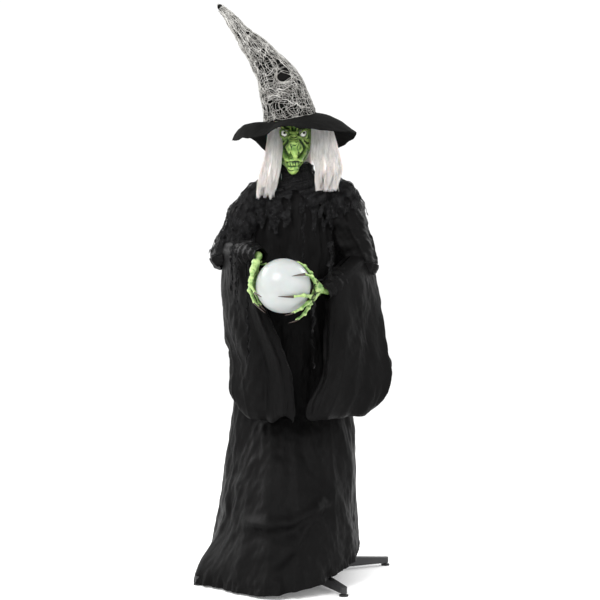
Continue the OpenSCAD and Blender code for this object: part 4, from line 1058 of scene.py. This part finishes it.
def mask():
    """The latex face, modelled in millimetres from the middle of the head."""
    f = Field((-0.066, -0.128, -0.120), (0.066, 0.008, 0.050), 0.0010)
    m = 0.001
    paint = []

    def cap(a, b, ra, rb, k=4, cut=False):
        f.capsule(np.array(a) * m, np.array(b) * m, ra * m, rb * m, k * m, cut)

    def both(a, b, ra, rb, k=4, cut=False):
        for s in (-1, 1):
            cap([a[0] * s, a[1], a[2]], [b[0] * s, b[1], b[2]], ra, rb, k, cut)

    def egg(c, r, k=4, cut=False):
        f.egg(np.array(c) * m, np.array(r) * m, k * m, cut)

    def front(x, z):
        """The y of the skin's front at x, z, in millimetres."""
        i, k = int(round((x * m - f.lo[0]) / f.h)), int(round((z * m - f.lo[2]) / f.h))
        inside = np.nonzero(f.d[i, :, k] < 0)[0]
        return (f.lo[1] + f.h * (inside[0] if len(inside) else 40)) / m

    def ridge(points, radius, sink=0.35, k=3.0):
        """A raised fold over the skin along points of x, z."""
        radius = np.broadcast_to(radius, len(points))
        at = [np.array([x, front(x, z) + r * sink, z]) for (x, z), r in zip(points, radius)]
        for n in range(len(at) - 1):
            cap(at[n], at[n + 1], radius[n], radius[n + 1], k)

    def crease(points, radius, sink=0.1, k=2.0, dark=1.0, wide=1.5):
        """A groove in the skin along points of x, z, painted dark: the mask's own crease paint together with
        painted shade in the groove.
        """
        radius = np.broadcast_to(radius, len(points))
        at = [np.array([x, front(x, z) - r * sink, z]) for (x, z), r in zip(points, radius)]
        for n in range(len(at) - 1):
            cap(at[n], at[n + 1], radius[n], radius[n + 1], k, True)
            paint.append((at[n] * m, at[n + 1] * m, max(radius[n], radius[n + 1]) * wide * m, dark))

    # Skull, jaw and chin. The jaw is fuller on the figure's right.
    egg([0, -12, 8], [50, 56, 70], 4)
    egg([0, -24, -34], [43, 46, 50], 12)
    cap([-19, -40, -62], [-4, -62, -92], 24, 14, 10)
    cap([13, -40, -58], [0, -62, -92], 22, 14, 10)
    cap([-2, -64, -92], [-2, -78, -101], 13, 12.5, 8)
    egg([-2, -78, -101], [14, 13, 12.5], 5)
    # Nose: broad at the wings, hooked down to a narrow tip.
    cap([0, -62, 2], [0, -72, -14], 8, 11, 6)
    cap([0, -72, -14], [1, -84, -38], 12, 16, 6)
    cap([1, -84, -38], [2.5, -96, -56], 15, 9.5, 5)
    cap([2.5, -96, -56], [3.5, -103, -68], 9, 6, 4)
    cap([3.5, -103, -68], [3.5, -101, -74], 6, 4.2, 3)
    cap([-13, -78, -44], [-9, -86, -54], 7.5, 6, 4)
    cap([17, -77, -44], [13, -86, -54], 7.5, 6, 4)
    # Muzzle, lips and cheekbones.
    egg([0, -66, -76], [26, 22, 16], 8)
    both([33, -44, -22], [39, -36, -34], 12, 11, 8)
    # Eye sockets.
    both([25, -75, -3], [26, -68, -2], 13.0, 13.5, 4, True)
    # Brows that drop to the middle, with a furrowed forehead above them.
    ridge([[-38, 17], [-30, 13.5], [-21, 6.5], [-13, 1.5], [-6, -2]], [3.8, 4.8, 5.2, 4.8, 4.2], 0.2)
    ridge([[38, 15], [31, 12], [21.6, 7.5], [14, 2.5], [7, -1]], [3.8, 4.8, 5.2, 4.8, 4.2], 0.2)
    ridge([[-8, 14], [-5, 4], [0, -3], [5, 4], [8, 14]], [3, 3.4, 4.2, 3.4, 3], 0.3)
    crease([[-6, 26], [-5, 14], [-3.5, 5]], [2.2, 2.2, 1.4])
    crease([[7, 26], [6, 14], [4.5, 5]], [2.2, 2.2, 1.4])
    crease([[-40, 27], [-24, 17], [-12, 11]], [2.0, 2.4, 1.4])
    crease([[40, 26], [25, 17], [14, 11]], [2.0, 2.4, 1.4])
    # Eyelids: slanted rims round each eye, with a dark line all round inside them: the mask's own paint
    # together with painted shade where the lid meets the eye.
    for s, corners in ((-1, [[-36, 7], [-27, 6.5], [-13.5, -5], [-24, -16], [-36, -9], [-37, 0]]),
                       (1, [[36, 7], [26, 5.5], [13.0, -6.5], [21, -14], [33, -13], [37, -2]])):
        ring = np.array(corners, float)
        count = len(ring)
        t = np.arange(60) / 60 * count
        i = np.floor(t).astype(int)
        w = (t - i)[:, None]
        w = w * w * (3 - 2 * w) * 0.5 + w * 0.5
        loop = ring[i % count] * (1 - w) + ring[(i + 1) % count] * w
        away = loop - np.array([25.0 * s, -3.5])
        y = -61 - 11.0 * np.sqrt(np.clip(1 - (away**2).sum(1) / 15.0**2, 0.02, 1)) - 0.5
        pts = np.column_stack([loop[:, 0], y, loop[:, 1]])
        for n in range(60):
            cap(pts[n], pts[(n + 1) % 60], 2.5, 2.5, 1.5)
            inner = np.array([25.0 * s, -61.0, -3.5])
            a, b = [inner + (q - inner) * 0.93 for q in (pts[n], pts[(n + 1) % 60])]
            paint.append((a * m, b * m, 4.4 * m, 1.0))
    # Bags under the eyes and the folds of the cheeks.
    ridge([[-10.5, -10], [-17, -17.5], [-25, -24], [-33, -35], [-40, -40]], [2.6, 3.6, 4.4, 4.6, 3.4])
    ridge([[12, -12], [18, -17], [26, -24], [33, -33], [40, -40]], [2.6, 3.6, 4.4, 4.6, 3.4])
    ridge([[-22, -19.5], [-32, -20], [-41, -17]], [2.6, 3.0, 2.4])
    ridge([[23, -18.5], [33, -19], [41, -16]], [2.6, 3.0, 2.4])
    crease([[-28, -22], [-35, -27], [-41, -27]], [1.6, 2.4, 2.0])
    crease([[29, -21], [36, -26], [41, -26]], [1.6, 2.4, 2.0])
    # Deep grooves down both sides of the nose to the mouth.
    crease([[-14, -20], [-19, -27], [-28.5, -38], [-23.5, -46], [-19.5, -56], [-11.5, -67], [-6, -70.5]],
           [1.6, 2.8, 3.0, 3.2, 3.2, 3.0, 2.2], 0.0)
    crease([[15, -20], [22, -27], [30, -39], [24.5, -48], [20.5, -56], [14.5, -64], [11.5, -69]],
           [1.6, 2.8, 3.0, 3.0, 3.0, 2.8, 2.0], 0.0)
    ridge([[-33, -45], [-30, -55], [-25, -66], [-19, -75]], [4.0, 4.6, 4.6, 3.6])
    ridge([[34, -45], [30, -55], [24, -66], [19, -74]], [3.6, 4.0, 4.2, 3.4])
    crease([[-39, -52], [-36, -64], [-28, -78]], [1.8, 2.2, 1.6], dark=0.7)
    crease([[39, -50], [34, -62], [27, -74]], [1.8, 2.2, 1.6], dark=0.7)
    # Wrinkles over the nose.
    for z, w in ((-13, 9), (-19, 11), (-27, 12), (-36, 8)):
        crease([[-w, z + 1.5], [-w * 0.4, z - 1.5], [0, z - 0.2]], [0.7, 1.2, 0.6], dark=0.5)
        crease([[w, z + 1], [w * 0.5, z - 2], [1, z - 0.4]], [0.7, 1.2, 0.6], dark=0.5)
    crease([[-10, -34], [-7, -42], [-6.5, -50]], [0.8, 1.6, 1.0], dark=0.6)
    crease([[13, -34], [10.5, -42], [10.0, -50]], [0.8, 1.6, 1.0], dark=0.6)
    # Nostrils.
    for a, b in (([-7.5, -58], [-5.5, -65]), ([14, -57], [11.0, -64])):
        crease([a, b], [3.2, 2.4], 0.3, 1.2, wide=1.1)
    # Lips with crooked ridges like long teeth behind them.
    ridge([[-17, -78], [-8, -76.5], [2, -77.5], [12, -76.5], [20, -78]], [2.2, 2.8, 2.6, 2.8, 2.2])
    crease([[-21, -83], [-10, -80.5], [2, -81], [12, -80.5], [22, -82]], [1.4, 2.0, 1.8, 2.0, 1.2])
    for x in (-13, -6, 1.5, 9, 15.5):
        ridge([[x, -83], [x * 0.92, -91]], [2.6, 2.4], 0.1, 1.5)
    for x in (-9.5, -2, 5, 12):
        crease([[x, -82.5], [x * 0.92, -91]], [1.5, 1.5], 0.0, 1.2, dark=0.85)
    crease([[-15, -93], [-5, -94.5], [5, -94], [13, -92]], [1.6, 2.2, 2.0, 1.4])
    ridge([[-13, -97], [-2, -99], [9, -97]], [3.0, 3.8, 3.0])
    crease([[-12, -104], [-7, -107], [-2, -106]], [0.9, 1.5, 0.8], dark=0.8)
    crease([[-20, -86], [-17, -97], [-13, -104]], [1.5, 1.7, 1.2], dark=0.6)
    crease([[18, -84], [15, -94], [11, -102]], [1.5, 1.7, 1.2], dark=0.6)
    # Open where the eyeballs sit, hollow behind, and cut off at the ears.
    s, q = f.block([[-0.066, -0.128, -0.120], [0.066, 0.008, 0.05]], 0)
    wob = (noise(q[::3, ::3, ::3], 0.020, 201, 2) * 0.0009).repeat(3, 0).repeat(3, 1).repeat(3, 2)
    d = f.d[s] + wob[:f.d.shape[0], :f.d.shape[1], :f.d.shape[2]].astype(np.float32)
    for sgn in (-1, 1):
        c = np.array([EYE[0] * sgn, EYE[1], EYE[2]])
        d = np.maximum(d, -(np.linalg.norm(q - c, axis=-1) - (EYE_R + 0.0006)))
    d = np.where(q[..., 1] > -0.046, np.maximum(d, -(d + 0.0040)), d)
    f.d = np.maximum(d, q[..., 1] + 0.003).astype(np.float32)

    def relief(p):
        out = unit(p - np.array([0, -0.02, -0.02]))
        return p + out * (noise(p, 0.007, 202, 2) * 0.00045)[:, None]

    place = lambda p: p + HEAD
    f.mesh("witch_mask", MASK, "witch_latex", place, smooth=1, relief=relief, paint=paint, body="head",
           replaces=["face_mask"])


mask()

# ------------------------------------------------------------------ hands

# The fingers are laid out from the globe's centre, and clear its surface by GAP.
GLOBE = np.array([-0.030, -0.220, 0.804])
GLOBE_R, GAP = 0.072, 0.0012
FINGER_R = np.array([5.6, 5.0, 4.6, 3.4, 1.6]) * 0.001
RIGHT_FINGERS = np.array([
    [[-80, -22, 36], [-82, -28, 20], [-85, -32, 2], [-73, -44, -16], [-54, -56, -30]],
    [[-80, -6, 36], [-85, -8, 14], [-88, -8, -12], [-76, -14, -42], [-52, -16, -66]],
    [[-78, 10, 34], [-82, 10, 10], [-84, 8, -16], [-70, 6, -48], [-46, 2, -72]],
    [[-72, 24, 34], [-76, 24, 12], [-76, 22, -14], [-63, 20, -44], [-45, 16, -67]],
    [[-68, 6, 62], [-58, 24, 60], [-46, 42, 56], [-36, 54, 50], [-24, 64, 44]]]) * 0.001
RIGHT_PALM = np.array([[-66, 18, 78, 8.0], [-72, 6, 60, 9], [-79, -16, 42, 7.5], [-77, 12, 42, 7.5],
                       [-72, 22, 40, 7]]) * 0.001
LEFT_FINGERS = np.array([
    [[86, 0, -10], [86, -10, 4], [74, -26, 24], [58, -48, 29], [22, -75, 24]],
    [[80, -8, -28], [72, -28, -28], [54, -54, -25], [30, -68, -28], [-14, -73, -28]],
    [[76, 0, -36], [64, -24, -44], [48, -38, -58], [30, -42, -68], [4, -36, -77]],
    [[72, 6, -44], [66, 0, -56], [56, -4, -72], [40, -10, -86], [14, -14, -97]],
    [[82, 26, 14], [72, 32, 34], [56, 38, 52], [40, 42, 62], [20, 46, 68]]]) * 0.001
LEFT_PALM = np.array([[112, 58, -12, 8.0], [96, 40, -10, 9], [85, 4, -14, 7.5], [80, 4, -30, 7],
                      [88, 30, 6, 7]]) * 0.001


def hand(side, fingers, palm, body, seed):
    """A bony hand with knuckles, tendons and dark nails, its palm open round the globe."""
    fingers, palm = fingers + GLOBE, palm + np.array([*GLOBE, 0])
    everything = np.concatenate([fingers.reshape(-1, 3), palm[:, :3], WRIST[side][None]])
    f = Field(everything.min(0) - 0.018, everything.max(0) + 0.018, 0.0011)
    away = lambda p: unit(p - GLOBE)
    # Wrist and back of the hand, with tendons out to each knuckle.
    w = WRIST[side]
    fore = unit(w - ELBOW[side])
    f.capsule(w - fore * 0.045, w, 0.0110, 0.0095, 0.004)
    f.capsule(w, palm[0, :3], 0.0095, 0.0085, 0.005)
    f.capsule(palm[0, :3], palm[1, :3], palm[0, 3], palm[1, 3], 0.006)
    for k in (2, 3, 4):
        f.capsule(palm[1, :3], palm[k, :3], palm[1, 3], palm[k, 3], 0.006)
    for a, b in ((2, 3), (3, 4)):
        f.capsule(palm[a, :3], palm[b, :3], palm[a, 3] * 0.95, palm[b, 3] * 0.95, 0.006)
    for k, chain in enumerate(fingers):
        root = palm[0, :3] if k == 4 else palm[1, :3]
        f.capsule(root + away(root) * 0.004, chain[0] + away(chain[0]) * 0.0025, 0.0036, 0.0042, 0.0035)
        for i in range(3):
            a, b = chain[i], chain[i + 1]
            ra, rb = FINGER_R[i], FINGER_R[i + 1]
            waist = (a + b) / 2
            f.capsule(a, waist, ra * 1.02, min(ra, rb) * 0.86, 0.0022)
            f.capsule(waist, b, min(ra, rb) * 0.86, rb * 1.02, 0.0022)
        for i in range(3):
            p = chain[i] + away(chain[i]) * 0.0012
            f.egg(p, np.full(3, FINGER_R[i] * 1.16), 0.002)
            along = unit(chain[i + 1] - chain[max(i - 1, 0)])
            side_way = unit(np.cross(along, away(p)))
            for off in (-0.0032, 0.0, 0.0032):
                c = p + along * off + away(p) * (FINGER_R[i] * 1.16)
                f.capsule(c - side_way * 0.004, c + side_way * 0.004, 0.0006, 0.0006, 0.0009, True)
        f.capsule(chain[3], chain[3] + (chain[4] - chain[3]) * 0.22, FINGER_R[3] * 0.98, FINGER_R[3] * 0.72,
                  0.002)
    for k in range(4):
        a = palm[1, :3] + away(palm[1, :3]) * 0.008
        mid_gap = (fingers[k][0] + fingers[min(k + 1, 3)][0]) / 2 + away(fingers[k][0]) * 0.004
        f.capsule(a, mid_gap, 0.0016, 0.0022, 0.003, True)
    s, q = f.block(everything, 0.03)
    wob = noise(q, 0.014, seed, 2) * 0.0005 + noise(q, 0.005, seed + 1, 2) * 0.0002
    clear = (GLOBE_R + GAP) - np.linalg.norm(q - GLOBE, axis=-1)
    f.d[s] = np.maximum(f.d[s] + wob, clear).astype(np.float32)
    f.mesh(f"{side}_hand_skin", HAND, "witch_latex", smooth=1, body=body, replaces=[f"{side}_hand"])
    nails(side, fingers, body)


def nails(side, fingers, body):
    """Long dark nails, flattened and pointed, one on each fingertip."""
    verts, faces, base = [], [], 0
    rows, n = 18, 14
    for chain in fingers:
        d = chain[4] - chain[3]
        out = unit((chain[3] + chain[4]) / 2 - GLOBE)
        side_way = unit(np.cross(d, out))
        up = unit(np.cross(side_way, d))
        t = np.linspace(0, 1, rows)[:, None]
        a = around(n)
        w = 0.0036 * (1 - t) ** 0.75 + 0.0003
        h = 0.0017 * (1 - t) ** 0.6 + 0.00025
        c = chain[3] + d * (0.05 + 0.93 * t) + up * (0.0019 * (1 - t) + 0.0010 * np.sin(t * math.pi))
        ring = c[:, None] + (w * np.cos(a))[..., None] * side_way + (h * np.sin(a))[..., None] * up
        verts.append(ring.reshape(-1, 3))
        faces.append(grid_faces(rows, n, True, base))
        base += rows * n
    make(f"{side}_nails", np.concatenate(verts), np.concatenate(faces), NAIL, "witch_latex", body=body)


hand("right", RIGHT_FINGERS, RIGHT_PALM, "right_arm_lower", 301)
hand("left", LEFT_FINGERS, LEFT_PALM, "left_arm_lower", 311)

# ------------------------------------------------------------------ hair

# Height, centre x and y, half length, half width and turn of each level of the three masses of hair.
LOCKS = {
    "right": np.array([[1.056, -0.080, -0.086, 0.026, 0.011, 0, 0],
                       [1.074, -0.077, -0.084, 0.027, 0.015, 0, 0],
                       [1.110, -0.069, -0.077, 0.027, 0.019, 0, 0],
                       [1.150, -0.061, -0.064, 0.024, 0.021, 0, 0],
                       [1.200, -0.056, -0.053, 0.022, 0.021, 0, 0],
                       [1.255, -0.053, -0.040, 0.020, 0.018, 0, 0]]),
    "left": np.array([[1.078, 0.085, -0.088, 0.030, 0.011, 0, 0],
                      [1.096, 0.088, -0.088, 0.036, 0.016, 0, 0],
                      [1.128, 0.092, -0.082, 0.039, 0.020, 0, 0],
                      [1.164, 0.083, -0.066, 0.040, 0.021, 0, 0],
                      [1.205, 0.079, -0.056, 0.034, 0.022, 0, 0],
                      [1.255, 0.072, -0.048, 0.028, 0.019, 0, 0]]),
    "back": np.array([[1.118, 0, 0.060, 0.046, 0.012, 0, 0], [1.170, -0.002, 0.063, 0.052, 0.015, 0, 0],
                      [1.220, -0.003, 0.061, 0.050, 0.015, 0, 0],
                      [1.262, -0.003, 0.056, 0.038, 0.012, 0, 0]]),
}


def lock(side, count, seed):
    """Fine hairs drawn together in clumps, round a solid core that replaces the CAD lock."""
    table = LOCKS[side]
    rng = np.random.default_rng(seed)
    low, top = table[0, 0], table[-1, 0]
    lines, radii = [], []
    clump_place = rng.uniform(-1, 1, (34, 2))
    clump_off = rng.normal(0, 1, (34, 3))
    clump_end = rng.uniform(0, 1, 34)
    m = 15
    t = np.linspace(0, 1, m)
    for _ in range(count):
        rho, phi = rng.uniform(0.0, 1.0) ** 0.42, rng.uniform(0, PI2)
        p0, q0 = rho * math.cos(phi), rho * math.sin(phi)
        k = int(np.argmin(((clump_place - [p0, q0]) ** 2).sum(1)))
        end = low - 0.018 + 0.046 * clump_end[k] ** 1.4 + 0.010 * rng.uniform()
        end = end + rng.uniform(0, 1) ** 3 * (top - low) * 0.5
        z = np.linspace(top - 0.007, end, m)
        o = curve(table[:, 0], table[:, 1:], np.clip(z, low, top))
        draw = 0.32 * step(0.45, 1.0, t)
        p = o[:, 2] * (p0 * (1 - draw) + clump_place[k, 0] * draw)
        q = o[:, 3] * (q0 * (1 - draw) + clump_place[k, 1] * draw)
        c, s = np.cos(np.radians(o[:, 4])), np.sin(np.radians(o[:, 4]))
        x, y = o[:, 0] + p * c - q * s, o[:, 1] + p * s + q * c
        wave = np.sin(t * 7.5 + clump_off[k, 0] * 3)[:, None] * clump_off[k] * 0.0019 * t[:, None]
        stray = np.sin(t * rng.uniform(3, 9)
                       + rng.uniform(0, 6))[:, None] * rng.normal(0, 1, 3) * 0.0015 * t[:, None]
        far = 1.0 if rng.random() > 0.08 else 3.6
        lines.append(np.stack([x, y, z], -1) + (wave + stray * far) * [1, 1, 0.2])
        radii.append(0.00040 * (1 - 0.7 * t) * rng.uniform(0.6, 1.25) + 0.00008)
    core_z = np.linspace(low + 0.020, top - 0.010, 60)
    a = around(60)
    core = ovals(table, core_z, 60, 0)
    centre = core.mean(axis=1, keepdims=True)
    taper = step(low + 0.010, low + 0.050, core_z)[:, None]
    shrink = (0.30 + 0.56 * taper) * (1 + 0.05 * np.sin(a * 9 + core_z[:, None] * 20))
    core = shift(centre, core - centre, shrink)
    name = f"hair_{side}_strands"
    hair = tubes(name, lines, radii, HAIR, "wig_fibre")
    heart = grid(f"hair_{side}_mass", core, HAIR, "wig_fibre")
    for ob in (hair, heart):
        if side == "back":
            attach(ob, "head")
        else:
            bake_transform(ob)
    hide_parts(f"hair_{side}")


lock("right", 3200, 401)
lock("left", 4200, 402)
lock("back", 2600, 403)

# ------------------------------------------------------------------ floor, light, camera

def studio():
    """A pale floor, soft light from all round, and the camera straight in front of the figure."""
    pale = Mat("studio_floor", (0.9, 0.9, 0.9), 0.95, Emission_Color=(1.0, 1.0, 1.0),
               Emission_Strength=0.14, Specular_IOR_Level=0.1)
    pale.bump(pale.noise(40.0, 2.0), 0.05, 0.0005)
    s = 9.0
    floor = make("studio_floor", [[-s, -s, 0], [s, -s, 0], [s, s, 0], [-s, s, 0]], [[0, 1, 2, 3]], pale.m,
                 "robe_cloth", smooth=False)
    del floor["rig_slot"]
    world = bpy.data.worlds.new("studio")
    world.use_nodes = True
    world.node_tree.nodes["Background"].inputs["Color"].default_value = (1.0, 1.0, 1.0, 1)
    world.node_tree.nodes["Background"].inputs["Strength"].default_value = 1.05
    bpy.context.scene.world = world
    for name, at, size, power in (("key", (-1.6, -2.6, 2.9), 1.8, 95), ("fill", (2.6, -2.0, 1.7), 2.2, 24),
                                  ("rim_left", (-2.4, 1.4, 2.2), 1.4, 60),
                                  ("rim_right", (2.2, 1.8, 2.2), 1.4, 30)):
        data = bpy.data.lights.new(name, "AREA")
        data.size, data.energy = size, power
        ob = bpy.data.objects.new(name, data)
        ob.location = at
        ob.rotation_euler = (Vector((0, 0, 0.9)) - Vector(at)).to_track_quat("-Z", "Y").to_euler()
        bpy.context.scene.collection.objects.link(ob)
    cam = bpy.data.cameras.new("camera")
    cam.lens, cam.sensor_width = 76.6, 36.0
    ob = bpy.data.objects.new("camera", cam)
    ob.location = (0.014, -3.567, 0.767)
    ob.rotation_euler = (math.pi / 2, 0, 0)
    bpy.context.scene.collection.objects.link(ob)
    bpy.context.scene.camera = ob
    bpy.context.scene.view_settings.view_transform = "Standard"


studio()
